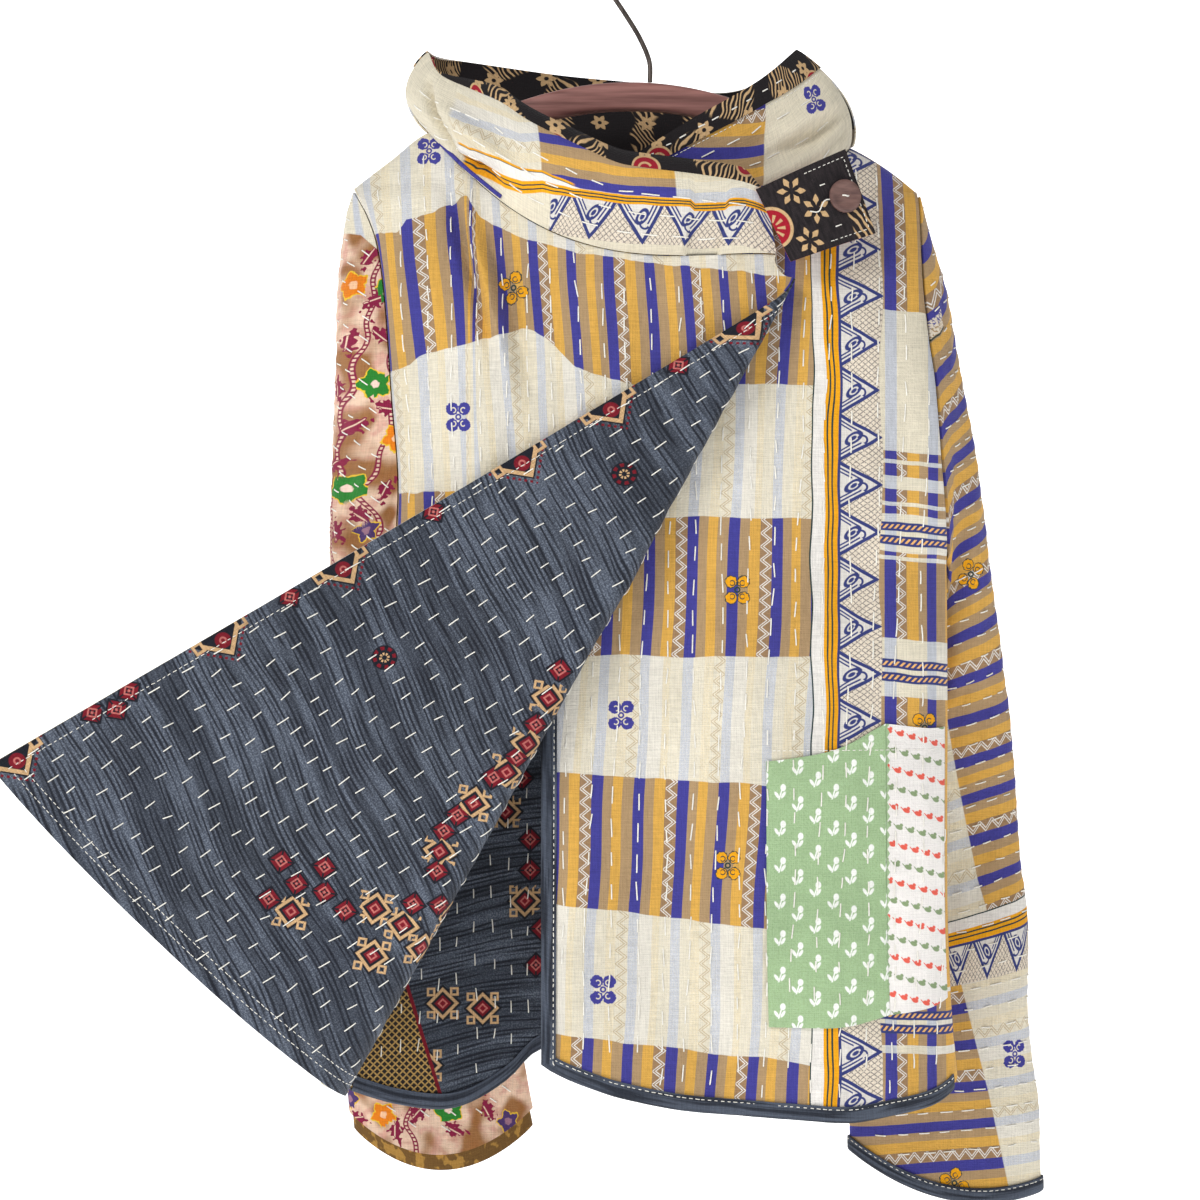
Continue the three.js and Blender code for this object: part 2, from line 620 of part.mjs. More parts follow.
for (const [name, grid, limit] of collar) {
  add(`collar_${name}`, wall(grid, { side: -1, limit }), CREAM);
  const inner = grid.map((row) => row.slice(1));
  add(`collar_facing_${name}`, wall(inner, { mid: -CLOTH - GAP, side: -1, limit }), BLACK);
}

// Tab with its red underside, and the button
const tab = tabGrid();
add('tab', wall(tab), BLACK);
add('tab_underside', wall(tab, { mid: -CLOTH - GAP }), '#8c2230');
add('button', buttonGeometry(tab), '#694b44', 0.45);

// Hanger
const barRings = range(0, 16).map((i) => barRing(i / 16));
add('hanger_bar', loft(barRings), '#965f58', 0.5);
add('hanger_hook', loft(hookRings()), '#5f5550', 0.35, 0.9);

export default jacket;
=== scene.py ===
# %% [markdown]
# A patched wrap jacket on a hanger. The frame is loaded first: it holds the imported solids at their
# real size, and every cloth shell made below lies on the form of one of them.

# %% Load the frame
import math
from functools import partialmethod

import bpy
import numpy as np
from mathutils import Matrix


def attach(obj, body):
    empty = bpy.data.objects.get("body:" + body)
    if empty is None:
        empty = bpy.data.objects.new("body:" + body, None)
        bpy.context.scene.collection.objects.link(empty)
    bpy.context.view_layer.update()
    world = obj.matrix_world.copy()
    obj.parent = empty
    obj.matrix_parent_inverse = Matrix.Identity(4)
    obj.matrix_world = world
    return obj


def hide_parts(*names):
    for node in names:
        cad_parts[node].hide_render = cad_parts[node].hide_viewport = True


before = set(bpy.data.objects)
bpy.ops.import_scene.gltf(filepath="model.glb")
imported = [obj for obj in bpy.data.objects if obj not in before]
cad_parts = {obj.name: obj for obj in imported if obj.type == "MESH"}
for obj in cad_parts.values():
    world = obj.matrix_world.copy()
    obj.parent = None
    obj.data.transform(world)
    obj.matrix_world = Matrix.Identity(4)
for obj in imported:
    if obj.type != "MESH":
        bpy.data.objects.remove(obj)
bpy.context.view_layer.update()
MM = 0.001
print("frame nodes:", len(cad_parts))

# %% [markdown]
# The camera looks level along +Y from 2.4 m, which is far enough to keep a hanging jacket free of
# strong perspective. A frame 0.84 m wide at the hanger's plane gives the lens. The setting is a pale
# floor that sweeps up into a wall, under a white sky and two large soft lamps.

# %% Camera, floor and light
CAMERA_AT = (-0.034, -2.4, -0.469)
FRAME_WIDTH = 0.84
SENSOR = 36.0
FLOOR_Z = -1.05


def put(name, data):
    thing = bpy.data.objects.new(name, data)
    bpy.context.scene.collection.objects.link(thing)
    return thing


camera = put("camera", bpy.data.cameras.new("camera"))
camera.location = CAMERA_AT
camera.rotation_euler = (math.pi / 2, 0, 0)
camera.data.sensor_width = SENSOR
camera.data.lens = SENSOR * -CAMERA_AT[1] / FRAME_WIDTH
bpy.context.scene.camera = camera


def soft_lamp(name, place, target, size, watts):
    lamp = put(name, bpy.data.lights.new(name, "AREA"))
    lamp.data.size = size
    lamp.data.energy = watts
    lamp.location = place
    reach = np.array(target) - np.array(place)
    lamp.rotation_euler = (
        math.pi / 2 + math.atan2(reach[2], math.hypot(reach[0], reach[1])),
        0,
        math.atan2(reach[1], reach[0]) - math.pi / 2,
    )


soft_lamp("key_lamp", (-1.5, -1.9, 1.1), (0, 0, -0.5), 1.2, 40)
soft_lamp("fill_lamp", (1.8, -2.0, 0.1), (0, 0, -0.5), 2.0, 7)

world = bpy.data.worlds.new("white_sky")
bpy.context.scene.world = world
world.use_nodes = True
world.node_tree.nodes["Background"].inputs["Color"].default_value = (1, 1, 1, 1)
world.node_tree.nodes["Background"].inputs["Strength"].default_value = 0.34
bpy.context.scene.view_settings.view_transform = "Standard"

SWEEP_FRONT, SWEEP_AT, SWEEP_RADIUS, SWEEP_STEPS = -4.0, 1.4, 1.2, 12
WALL_TOP, HALF_WIDTH = 3.5, 5.0
sweep = [(SWEEP_FRONT, FLOOR_Z), (SWEEP_AT, FLOOR_Z)]
for step in range(1, SWEEP_STEPS + 1):
    turn = step / SWEEP_STEPS * math.pi / 2
    sweep.append((SWEEP_AT + SWEEP_RADIUS * math.sin(turn), FLOOR_Z + SWEEP_RADIUS * (1 - math.cos(turn))))
sweep.append((SWEEP_AT + SWEEP_RADIUS, WALL_TOP))
floor_mesh = bpy.data.meshes.new("pale_floor")
floor_points = [(x, y, z) for y, z in sweep for x in (-HALF_WIDTH, HALF_WIDTH)]
floor_faces = [(2 * i, 2 * i + 1, 2 * i + 3, 2 * i + 2) for i in range(len(sweep) - 1)]
floor_mesh.from_pydata(floor_points, [], floor_faces)
floor = put("pale_floor", floor_mesh)
floor_mesh.polygons.foreach_set("use_smooth", [True] * len(floor_faces))
print("camera lens", round(camera.data.lens, 2), "mm")

# %% [markdown]
# Sewing patterns are drawn through a few measured points with a smooth line between them. This helper
# gives such a line as a function that works on whole arrays. All drawing below is in millimetres.


# %% Smooth lines through points
def through(points):
    x, y = np.array(sorted(points), float).T
    slope = np.empty_like(y)
    slope[1:-1] = (y[2:] - y[:-2]) / (x[2:] - x[:-2])
    slope[0] = (y[1] - y[0]) / (x[1] - x[0])
    slope[-1] = (y[-1] - y[-2]) / (x[-1] - x[-2])

    def line(at):
        at = np.clip(np.asarray(at, float), x[0], x[-1])
        i = np.clip(np.searchsorted(x, at, side="right") - 1, 0, len(x) - 2)
        gap = x[i + 1] - x[i]
        t = (at - x[i]) / gap
        start = (1 + 2 * t) * (1 - t) ** 2 * y[i] + t * (1 - t) ** 2 * gap * slope[i]
        return start + t * t * (3 - 2 * t) * y[i + 1] + t * t * (t - 1) * gap * slope[i + 1]

    return line


def curve(points):
    lines = [through(list(enumerate(column))) for column in np.array(points, float).T]
    return lambda t: np.stack([line(np.asarray(t) * (len(points) - 1)) for line in lines], -1)


def smooth(x, low, high):
    t = np.clip((x - low) / (high - low), 0, 1)
    return t * t * (3 - 2 * t)


def lerp(a, b, t):
    return a + (b - a) * t


def circle(count):
    return np.linspace(0, 2 * np.pi, count, endpoint=False)


def unit(vectors):
    return vectors / np.maximum(np.linalg.norm(vectors, axis=-1, keepdims=True), 1e-9)


def run_along(points):
    """Length from the start to each point, down the first axis."""
    step = np.linalg.norm(np.diff(points, axis=0), axis=-1)
    return np.concatenate([np.zeros_like(step[:1]), np.cumsum(step, 0)])


def spread(values, count):
    """Count values that run through the given ones, evenly between each two."""
    return np.interp(np.linspace(0, len(values) - 1, count), np.arange(len(values)), values)


# %% [markdown]
# The body hangs from the hanger as a flattened tube: side lines, shoulder line and armholes give its
# outline, and its depth swells from the shoulders down. Soft vertical ripples grow towards the hem.
# Panels are drawn flat in x and z first, and this form then gives each point its depth.

# %% Form of the body
CLOTH = 1.2
QUILT = 2.0
GAP = 0.3
HALF_DOUBLE = CLOTH + GAP / 2
LEFT_SIDE = through([
    (-182, -205), (-200, -195), (-222, -187), (-262, -181), (-331, -176), (-386, -172), (-430, -175),
    (-520, -188), (-620, -203), (-720, -216), (-806, -228),
])
RIGHT_SIDE = through([
    (-185, 187), (-246, 188), (-289, 192), (-316, 196), (-372, 201), (-412, 205), (-441, 207), (-539, 208),
    (-679, 208), (-756, 211), (-801, 215),
])
SHOULDER = through([
    (-205, -182), (-180, -163), (-153, -143), (-100, -136), (0, -132), (100, -138), (141, -154),
    (165, -168), (187, -185),
])
FRONT_DEPTH, BACK_DEPTH = 56, 50
SHOULDER_ROUND = 170
SECTION_POWER = 2.6
ARMHOLE_WIDTH = 34
RIPPLE = 5
LEFT_TIP, RIGHT_TIP = -182, -185
LEFT_UNDERARM, RIGHT_UNDERARM = -430, -441


def fullness(x, z, depth):
    left, right = LEFT_SIDE(z), RIGHT_SIDE(z)
    middle = (left + right) / 2
    t = np.minimum(np.abs((x - middle) / ((right - left) / 2)), 1)
    drop = np.clip((SHOULDER(x) - z) / SHOULDER_ROUND, 0, 1)
    top = depth * np.sqrt(1 - (1 - drop) ** 2)
    tip = np.where(x < middle, LEFT_TIP, RIGHT_TIP)
    under = np.where(x < middle, LEFT_UNDERARM, RIGHT_UNDERARM)
    share = np.clip((tip - z) / (tip - under), 0, 1)
    hole = ARMHOLE_WIDTH * 2 * np.sqrt(share * (1 - share))
    ripple = RIPPLE * np.sin(x / 34 + z / 260) * smooth(-z, 300, 800) * (1 - t**4)
    return hole + (top + ripple - np.minimum(hole, top)) * (1 - t**SECTION_POWER) ** (1 / SECTION_POWER)


def front_form(x, z):
    return np.stack([x, np.minimum(-fullness(x, z, FRONT_DEPTH), -GAP / 2), z], -1)


def back_form(x, z):
    return np.stack([x, np.maximum(fullness(x, z, BACK_DEPTH), GAP / 2), z], -1)


def front_at(place):
    return front_form(place[..., 0], place[..., 1])


def back_at(place):
    return back_form(place[..., 0], place[..., 1])


def coons(columns, rows, bottom, top, left, right):
    """Flat points between four edges: columns across, rows up."""
    u, v = np.meshgrid(columns, rows, indexing="ij")
    low, high = bottom(columns)[:, None], top(columns)[:, None]
    near, far = left(rows)[None], right(rows)[None]
    u, v = u[..., None], v[..., None]
    ends = np.array([0.0, 1.0])
    (low_a, low_b), (high_a, high_b) = bottom(ends), top(ends)
    corners = lerp(lerp(low_a, low_b, u), lerp(high_a, high_b, u), v)
    return lerp(low, high, v) + lerp(near, far, u) - corners


def flat(x, z):
    return np.stack([x, z], -1)


# %% [markdown]
# Worn cloth is never quite smooth. Every panel gets creases, each a soft trough or ridge
# along a line drawn in the panel's own sizes, and a faint pucker between the quilting rows. They move
# the points along the panel's normal, so that the two faces of a shell keep their distance.


# %% Creases and puckers
def crease_height(place, creases):
    """Height of soft creases (x0, z0, x1, z1, width, height) over flat places."""
    total = np.zeros(place.shape[:-1])
    for x0, z0, x1, z1, width, height in creases:
        start, along = np.array([x0, z0]), np.array([x1 - x0, z1 - z0])
        t = np.clip(((place - start) @ along) / (along @ along), 0, 1)
        away = np.linalg.norm(place - start - t[..., None] * along, axis=-1)
        total += height * np.exp(-((away / width) ** 2)) * np.sqrt(np.sin(np.pi * np.clip(t, 0.04, 0.96)))
    return total


def pucker(place, row=17.5, height=0.5):
    """Quilting pulls the cloth in along its rows and gathers it a little between them."""
    x, z = place[..., 0], place[..., 1]
    channel = np.cos(2 * np.pi * x / row)
    gather = np.sin(z / 2.6 + 2.2 * np.sin(x / 23) + 1.3 * np.sin(z / 41))
    swell = 0.6 + 0.4 * np.sin(x / 61 + 1.7 * np.sin(z / 83))
    return height * swell * (0.55 * channel + 0.45 * gather)


def grid_normals(grid, loop=False):
    if loop:
        along = np.roll(grid, -1, 0) - np.roll(grid, 1, 0)
    else:
        along = np.gradient(grid, axis=0)
    normal = np.cross(along, np.gradient(grid, axis=1))
    return unit(normal)


# %% [markdown]
# A shell is the wall of cloth about a grid of points: an outer face, an inner face and a rim that
# closes them, so it has a true thickness from every side. The flat places of the cloth are kept in a
# map called cloth, in millimetres, and every printed or woven pattern below is drawn in that map.

# %% Shells of cloth
made = []


def mesh_piece(name, points, faces, corner_map, sharp=50):
    mesh = bpy.data.meshes.new(name)
    faces = faces if isinstance(faces, list) else faces.tolist()
    mesh.from_pydata((np.asarray(points) * MM).tolist(), [], faces)
    if corner_map is not None:
        layer = mesh.uv_layers.new(name="cloth")
        layer.data.foreach_set("uv", np.asarray(corner_map, np.float32).ravel())
    mesh.polygons.foreach_set("use_smooth", [True] * len(mesh.polygons))
    mesh.set_sharp_from_angle(angle=math.radians(sharp))
    piece = put(name, mesh)
    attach(piece, "root")
    made.append(piece)
    return piece


def tube_faces(count, sides):
    """Quads between rings of points, one ring after another."""
    k = np.arange(sides)
    a, b = k, (k + 1) % sides
    quads = np.stack([a, b, b + sides, a + sides], 1)
    return (np.arange(count - 1)[:, None, None] * sides + quads).reshape(-1, 4)


def rings_about(line, side, up, radius, sides):
    a = circle(sides)[None, :, None]
    return line[:, None] + radius * (np.cos(a) * side[:, None] + np.sin(a) * up[:, None])


def shell(name, grid, place, mid=0.0, thick=CLOTH, side=1, loop=False, relief=None, limit=None):
    """A closed wall about a grid; place holds the cloth map, one row more on a loop."""
    rows, cols = grid.shape[:2]
    normal = grid_normals(grid, loop) * side
    lift = np.zeros((rows, cols)) if relief is None else relief
    faces_out = [grid + normal * (mid + lift + s * thick / 2)[..., None] for s in (-1, 1)]
    if limit is not None:
        faces_out = [limit(face) for face in faces_out]
    points = np.concatenate([face.reshape(-1, 3) for face in faces_out])
    last = rows if loop else rows - 1
    i, j = np.meshgrid(np.arange(last), np.arange(cols - 1), indexing="ij")
    i, j = i.ravel(), j.ravel()
    rim = [np.stack([np.arange(last), np.full(last, c)], 1) for c in (0, cols - 1)]

    def at(face, a, b):
        return face * rows * cols + (a % rows) * cols + b

    def corner(a, b):
        return place[a, b] if loop else place[np.minimum(a, rows - 1), b]

    quads = [np.stack([at(1, i, j), at(1, i + 1, j), at(1, i + 1, j + 1), at(1, i, j + 1)], 1)]
    quads.append(np.stack([at(0, i, j), at(0, i, j + 1), at(0, i + 1, j + 1), at(0, i + 1, j)], 1))
    maps = [np.stack([corner(i, j), corner(i + 1, j), corner(i + 1, j + 1), corner(i, j + 1)], 1)]
    maps.append(np.stack([corner(i, j), corner(i, j + 1), corner(i + 1, j + 1), corner(i + 1, j)], 1))
    for edge, low in zip(rim, (0, 1)):
        a, b = edge.T
        loop_of = [(low, a, b), (low, a + 1, b), (1 - low, a + 1, b), (1 - low, a, b)]
        quads.append(np.stack([at(*q) for q in loop_of], 1))
        maps.append(np.stack([corner(q[1], q[2]) for q in loop_of], 1))
    if not loop:
        b = np.arange(cols - 1)
        for a, low in ((np.zeros_like(b), 1), (np.full_like(b, rows - 1), 0)):
            loop_of = [(low, a, b), (low, a, b + 1), (1 - low, a, b + 1), (1 - low, a, b)]
            quads.append(np.stack([at(*q) for q in loop_of], 1))
            maps.append(np.stack([corner(q[1], q[2]) for q in loop_of], 1))
    quads, maps = np.concatenate(quads), np.concatenate(maps)
    if side < 0:
        quads, maps = quads[:, ::-1], maps[:, ::-1]
    return mesh_piece(name, points, quads, maps)


def on_surface(grid, side=1, loop=False, relief=None, out=0.0):
    """Points and normals on the outer side of a shell, for what is sewn on it."""
    normal = grid_normals(grid, loop) * side
    lift = 0.0 if relief is None else relief[..., None]
    return grid + normal * (lift + out), normal

# %% [markdown]
# The under front is one pieced panel from its bound free edge to the side seam. It is drawn flat
# between its hem, free edge, side line and neckline, laid on the body's form, and given the long soft
# folds that hang from the buttoned shoulder.

# %% Under front, flat
RIGHT_NECK, LEFT_NECK = 141, -153
UNDER_EDGE, UNDER_SIDE = -72, 215
UNDER_HEM = through([
    (-72, -786), (-56, -794), (-38, -801), (-20, -807), (21, -816), (62, -820), (103, -823), (138, -825),
    (166, -821), (194, -816), (208, -809), (215, -801),
])
UNDER_NECK = through([(-72, -234), (0, -231), (55, -220), (105, -195), (141, -154)])
UNDER_COLUMNS = [0, 0.12, 0.24, 0.35, 0.45, 0.546, 0.64, 0.74, 0.839, 0.91, 0.955, 0.982, 1]
UNDER_ROWS = [0, 0.05, 0.1, 0.18, 0.26, 0.33, 0.4, 0.49, 0.58, 0.67, 0.76, 0.84, 0.91, 0.96, 1]
NECK_SHARE = 0.839


def under_top(u):
    neck_x = lerp(UNDER_EDGE, RIGHT_NECK, u / NECK_SHARE)
    tip_x = lerp(RIGHT_NECK, 187, (u - NECK_SHARE) / (1 - NECK_SHARE))
    at_neck = u < NECK_SHARE
    return np.where(at_neck[:, None], flat(neck_x, UNDER_NECK(neck_x)), flat(tip_x, SHOULDER(tip_x)))


def under_flat(columns, rows):
    return coons(
        columns,
        rows,
        bottom=lambda u: flat(lerp(UNDER_EDGE, UNDER_SIDE, u), UNDER_HEM(lerp(UNDER_EDGE, UNDER_SIDE, u))),
        top=under_top,
        left=lambda v: flat(np.full_like(v, UNDER_EDGE),
                            lerp(UNDER_HEM(UNDER_EDGE), UNDER_NECK(UNDER_EDGE), v)),
        right=lambda v: flat(RIGHT_SIDE(lerp(-801, -185, v)), lerp(-801, -185, v)),
    )


UNDER_CREASES = [
    (120, -255, 96, -420, 9, 2.6), (104, -300, 60, -520, 12, -2.4), (150, -230, 150, -420, 8, 1.8),
    (172, -260, 176, -480, 9, -1.6), (60, -520, 20, -760, 16, 2.2), (110, -480, 100, -770, 14, -2.0),
    (-20, -520, -40, -770, 16, -1.8), (150, -760, 170, -815, 10, 1.6), (-50, -560, -55, -740, 10, 1.6),
    (20, -640, 66, -800, 12, 1.4), (185, -480, 188, -700, 9, 1.4),
]


def under_relief(place):
    fade = smooth(RIGHT_SIDE(place[..., 1]) - place[..., 0], 0, 24)
    fade = fade * smooth(SHOULDER(place[..., 0]) - place[..., 1], 2, 30)
    return fade * (crease_height(place, UNDER_CREASES) + pucker(place))


under_place = under_flat(spread(UNDER_COLUMNS, 97), spread(UNDER_ROWS, 197))
under_grid = front_at(under_place)


# %% [markdown]
# The patch pocket lies on the under front, so it is made from that panel's own points, moved out by
# half the quilt and its own thickness. It has a green part and a white part joined along one edge.

# %% Pocket, flat
POCKET_ROWS = (0.1, 0.4)
POCKET_GREEN = (0.546, 0.839)
POCKET_WHITE = (0.84, 0.982)
POCKET_OUT = QUILT / 2 + GAP + CLOTH / 2 + 0.2


def pocket_place(share):
    return under_flat(np.linspace(*share, 40), np.linspace(*POCKET_ROWS, 70))


green_place, white_place = pocket_place(POCKET_GREEN), pocket_place(POCKET_WHITE)

# %% [markdown]
# The back and its lining hang on the same form behind the hanger. They show from behind, and the
# lining also shows in the opening beside the turned-back front.

# %% Back, flat
BACK_HEM = through([
    (-228, -806), (-200, -818), (-177, -825), (-146, -829), (-125, -824), (-99, -808), (-82, -791),
    (-60, -784), (0, -783), (80, -790), (160, -799), (215, -801),
])
BACK_NECK = through([
    (-153, -143), (-110, -155), (-50, -163), (0, -165), (50, -164), (100, -160), (141, -154),
])
BACK_COLUMNS = [-205, -189, -171, -153, -120, -82, -44, -6, 32, 70, 108, 141, 158, 174, 187]
BACK_ROWS = [0, 0.09, 0.18, 0.27, 0.36, 0.45, 0.54, 0.63, 0.71, 0.79, 0.86, 0.92, 0.96, 0.985, 1]


def back_top(u):
    x = lerp(BACK_COLUMNS[0], BACK_COLUMNS[-1], u)
    in_neck = (x > LEFT_NECK) & (x < RIGHT_NECK)
    return flat(x, np.where(in_neck, BACK_NECK(x), SHOULDER(x)))


def back_flat(columns, rows):
    return coons(
        columns,
        rows,
        bottom=lambda u: flat(lerp(-228, 215, u), BACK_HEM(lerp(-228, 215, u))),
        top=back_top,
        left=lambda v: flat(LEFT_SIDE(lerp(-806, -182, v)), lerp(-806, -182, v)),
        right=lambda v: flat(RIGHT_SIDE(lerp(-801, -185, v)), lerp(-801, -185, v)),
    )


BACK_CREASES = [
    (-120, -220, -90, -520, 14, 2.6), (-40, -240, -60, -600, 16, -2.4), (60, -220, 40, -560, 16, 2.4),
    (130, -240, 110, -600, 14, -2.2), (-150, -480, -140, -780, 14, 2.0), (0, -520, 10, -770, 18, 2.2),
    (90, -540, 100, -780, 16, -2.0), (-90, -560, -110, -800, 12, -2.0), (160, -480, 165, -760, 12, 1.8),
]


def back_relief(place):
    x, z = place[..., 0], place[..., 1]
    fade = smooth(RIGHT_SIDE(z) - x, 0, 24) * smooth(x - LEFT_SIDE(z), 0, 24)
    fade = fade * smooth(SHOULDER(x) - z, 4, 44)
    return fade * (crease_height(place, BACK_CREASES) + pucker(place))


back_share = (np.array(BACK_COLUMNS, float) - BACK_COLUMNS[0]) / (BACK_COLUMNS[-1] - BACK_COLUMNS[0])
back_place = back_flat(spread(back_share, 99), spread(BACK_ROWS, 155))
back_grid = back_at(back_place)

# %% [markdown]
# The wrap front is cut as a fan from its top corner at the shoulder. Up to the fold line it lies on
# the body; past it the cloth rolls over in a soft half turn and swings out to the side with its
# lining showing. Rolling the same flat points keeps the cloth's length, and the flat places are kept,
# so the woven rows turn with the cloth.

# %% Wrap front, rolled
CORNER = np.array([99.4, -235.8])
FREE_EDGE, FOLD = math.radians(-2.5), math.radians(29.8)
ROLL_END = FOLD - math.radians(7.5)
FREE_LENGTH, SEAM_LENGTH, HEM_DIP = 639, 657.5, 14
INNER_RADIUS = 14
OVERLAP = 9
ROLL, ROLL_GROWTH = 6, 0.016
FLARE, FLAP_FRONT = 50, 45
COLLAR_SAG = 42


def wrap_hem(angle):
    t = (angle - FREE_EDGE) / (FOLD - FREE_EDGE)
    reach = lerp(FREE_LENGTH, SEAM_LENGTH, t) - HEM_DIP * np.sin(np.pi * t)
    return CORNER - reach[:, None] * np.stack([np.sin(angle), np.cos(angle)], -1)


def wrap_body(x, z):
    lying = front_form(x, z)
    lying[..., 1] -= OVERLAP * smooth(x, -190, -110) * smooth(SHOULDER(x) - z, 0, 60)
    lying[..., 1] = np.minimum(lying[..., 1], -GAP / 2)
    return lying


def rolled(r, past):
    """Points that lie past the fold by a length of cloth, at a distance from the corner."""
    radius = ROLL + ROLL_GROWTH * r
    turn = np.clip(past / radius, 0, np.pi)
    beyond = np.maximum(past - np.pi * radius, 0)
    swing = FOLD + (beyond - radius * np.sin(turn)) / r
    start = wrap_body(CORNER[0] - r * np.sin(FOLD), CORNER[1] - r * np.cos(FOLD))[..., 1]
    pull = (FLAP_FRONT + start) * smooth(past, 0, 160) + FLARE * (beyond / 325) ** 2
    depth = start - radius * (1 - np.cos(turn)) - pull
    return np.stack([CORNER[0] - r * np.sin(swing), depth, CORNER[1] - r * np.cos(swing)], -1)


def wrap_surface(place):
    """The wrap front over its flat places, and how far past the fold each lies."""
    reach = place - CORNER
    r = np.maximum(np.linalg.norm(reach, axis=-1), 1.0)
    past = r * (FOLD - np.arctan2(-reach[..., 0], -reach[..., 1]))
    lying = wrap_body(place[..., 0], place[..., 1])
    return np.where((past > 1e-6)[..., None], rolled(r, past), lying), past


def wrap_form(ends, shares):
    reach = ends - CORNER
    length = np.linalg.norm(reach, axis=1)[:, None]
    angle = np.arctan2(-reach[:, 0], -reach[:, 1])[:, None]
    v = lerp(INNER_RADIUS / length, 1, shares[None])
    w = v**1.4
    sag = COLLAR_SAG * np.clip((angle - math.radians(70)) / math.radians(38.8), 0, 1.1) ** 1.2
    place = CORNER + reach[:, None] * v[..., None]
    place[..., 1] -= sag * 4 * w * (1 - w)
    return *wrap_surface(place)[:1], place, v * length * (FOLD - angle)


WRAP_ROWS = 130
SEAM_HEIGHTS = [-806, -745, -680, -615, -550, -490, -430, -385, -340, -295, -255, -215, -182]
WRAP_SHOULDER = [-205, -192, -178, -165, -153]
hem_angles = np.concatenate([
    np.linspace(FREE_EDGE, ROLL_END, 66)[:-1],
    np.linspace(ROLL_END, FOLD, 44),
])
seam_z = spread(SEAM_HEIGHTS, 64)[1:]
over_x = spread(WRAP_SHOULDER, 15)[1:]
wrap_ends = np.concatenate([wrap_hem(hem_angles), flat(LEFT_SIDE(seam_z), seam_z),
                            flat(over_x, SHOULDER(over_x))])
wrap_shares = 1 - (1 - np.linspace(0, 1, WRAP_ROWS)) ** 1.25
wrap_grid, wrap_place, wrap_past = wrap_form(wrap_ends, wrap_shares)

# Beside the side seam the cloth turns away, so its map is measured round the turn.
TURN_WIDTH, TURN_HEIGHT = 60, -600
turn_d = np.linspace(0, TURN_WIDTH, 61)
turn_y = front_form(LEFT_SIDE(TURN_HEIGHT) + turn_d, np.full(61, float(TURN_HEIGHT)))[..., 1]
turn_more = np.hypot(np.diff(turn_d), np.diff(turn_y)) - np.diff(turn_d)
turn_more = np.concatenate([np.cumsum(turn_more[::-1])[::-1], [0]])
wrap_map = wrap_place.copy()
wrap_side = wrap_place[..., 0] - LEFT_SIDE(wrap_place[..., 1])
wrap_map[..., 0] -= np.where(wrap_past <= 1e-6, np.interp(wrap_side, turn_d, turn_more), 0)

# The first creases lie on the chest, the rest in the flat cut of the turned-back part.
CHEST_CREASES = [
    (-140, -182, -102, -318, 5, -9.0), (-128, -180, -92, -340, 6, 8.5), (-116, -200, -78, -330, 5, -7.0),
    (-152, -190, -142, -340, 8, 3.0), (-60, -236, -92, -330, 9, -3.2), (-30, -236, -50, -360, 10, 2.0),
    (10, -240, -10, -340, 9, -1.8), (50, -244, 20, -320, 8, 1.6), (-110, -330, -130, -470, 12, 2.4),
    (-90, -320, -100, -420, 9, -2.2), (-160, -320, -165, -520, 8, 1.6), (-190, -560, -150, -660, 12, 2.0),
]
FLAP_CREASES = [
    (100, -420, -30, -470, 18, 2.4), (110, -560, -40, -600, 20, -2.6), (110, -660, -60, -690, 22, 2.8),
    (112, -760, -40, -770, 18, -2.6), (60, -600, 20, -860, 20, 2.6), (-20, -620, -70, -800, 18, -2.4),
    (100, -820, 20, -840, 14, 2.0), (112, -860, 60, -850, 12, -1.8),
]


def wrap_relief(place, past):
    x, z = place[..., 0], place[..., 1]
    lying = past <= 1e-6
    fade = np.where(lying, smooth(x - LEFT_SIDE(z), 0, 22) * smooth(SHOULDER(x) - z, 4, 40), 1.0)
    inner = np.linalg.norm(place - CORNER, axis=-1)
    fade = fade * smooth(inner, 16, 90)
    creases = np.where(lying, crease_height(place, CHEST_CREASES), -crease_height(place, FLAP_CREASES))
    return fade * (creases + pucker(place, height=0.45))


# %% [markdown]
# Each sleeve is a flat tube of rings between its outer and inner lines. The outer line follows the
# jacket's outline in the front view, the inner line goes behind the body, and the depth of the tube
# narrows to the cuff. Its cloth is mapped level round the arm from the front, with the seam on the
# hidden inner line, so that prints keep their size on every side.

# %% Sleeves
RINGS = 15
LEFT_SLEEVE = curve([
    (-207.5, 0, -184, -177, 0, -430, ARMHOLE_WIDTH),
    (-213, 2, -213, -186, 12, -440, 33),
    (-216, 6, -258, -191, 26, -456, 32),
    (-220, 14, -328, -189, 50, -492, 30),
    (-224.5, 34, -419, -178, 78, -548, 28),
    (-227, 60, -530, -158, 100, -625, 25),
    (-226, 84, -660, -124, 110, -712, 22),
    (-221, 98, -770, -96, 108, -785, 20),
    (-216, 102, -842, -84, 106, -840, 18),
])
RIGHT_SLEEVE = curve([
    (189, 0, -187, 209, 0, -441, ARMHOLE_WIDTH),
    (201, 2, -234, 212, 12, -450, 33),
    (212, 6, -276, 211, 28, -466, 32),
    (227, 14, -349, 205, 54, -502, 31),
    (241, 30, -441, 194, 80, -556, 30),
    (256, 56, -534, 176, 102, -632, 27),
    (268, 78, -635, 160, 110, -730, 24),
    (278, 88, -774, 150, 106, -815, 20),
    (286, 92, -896, 149, 100, -868, 18),
])
SLEEVE_AROUND = 120


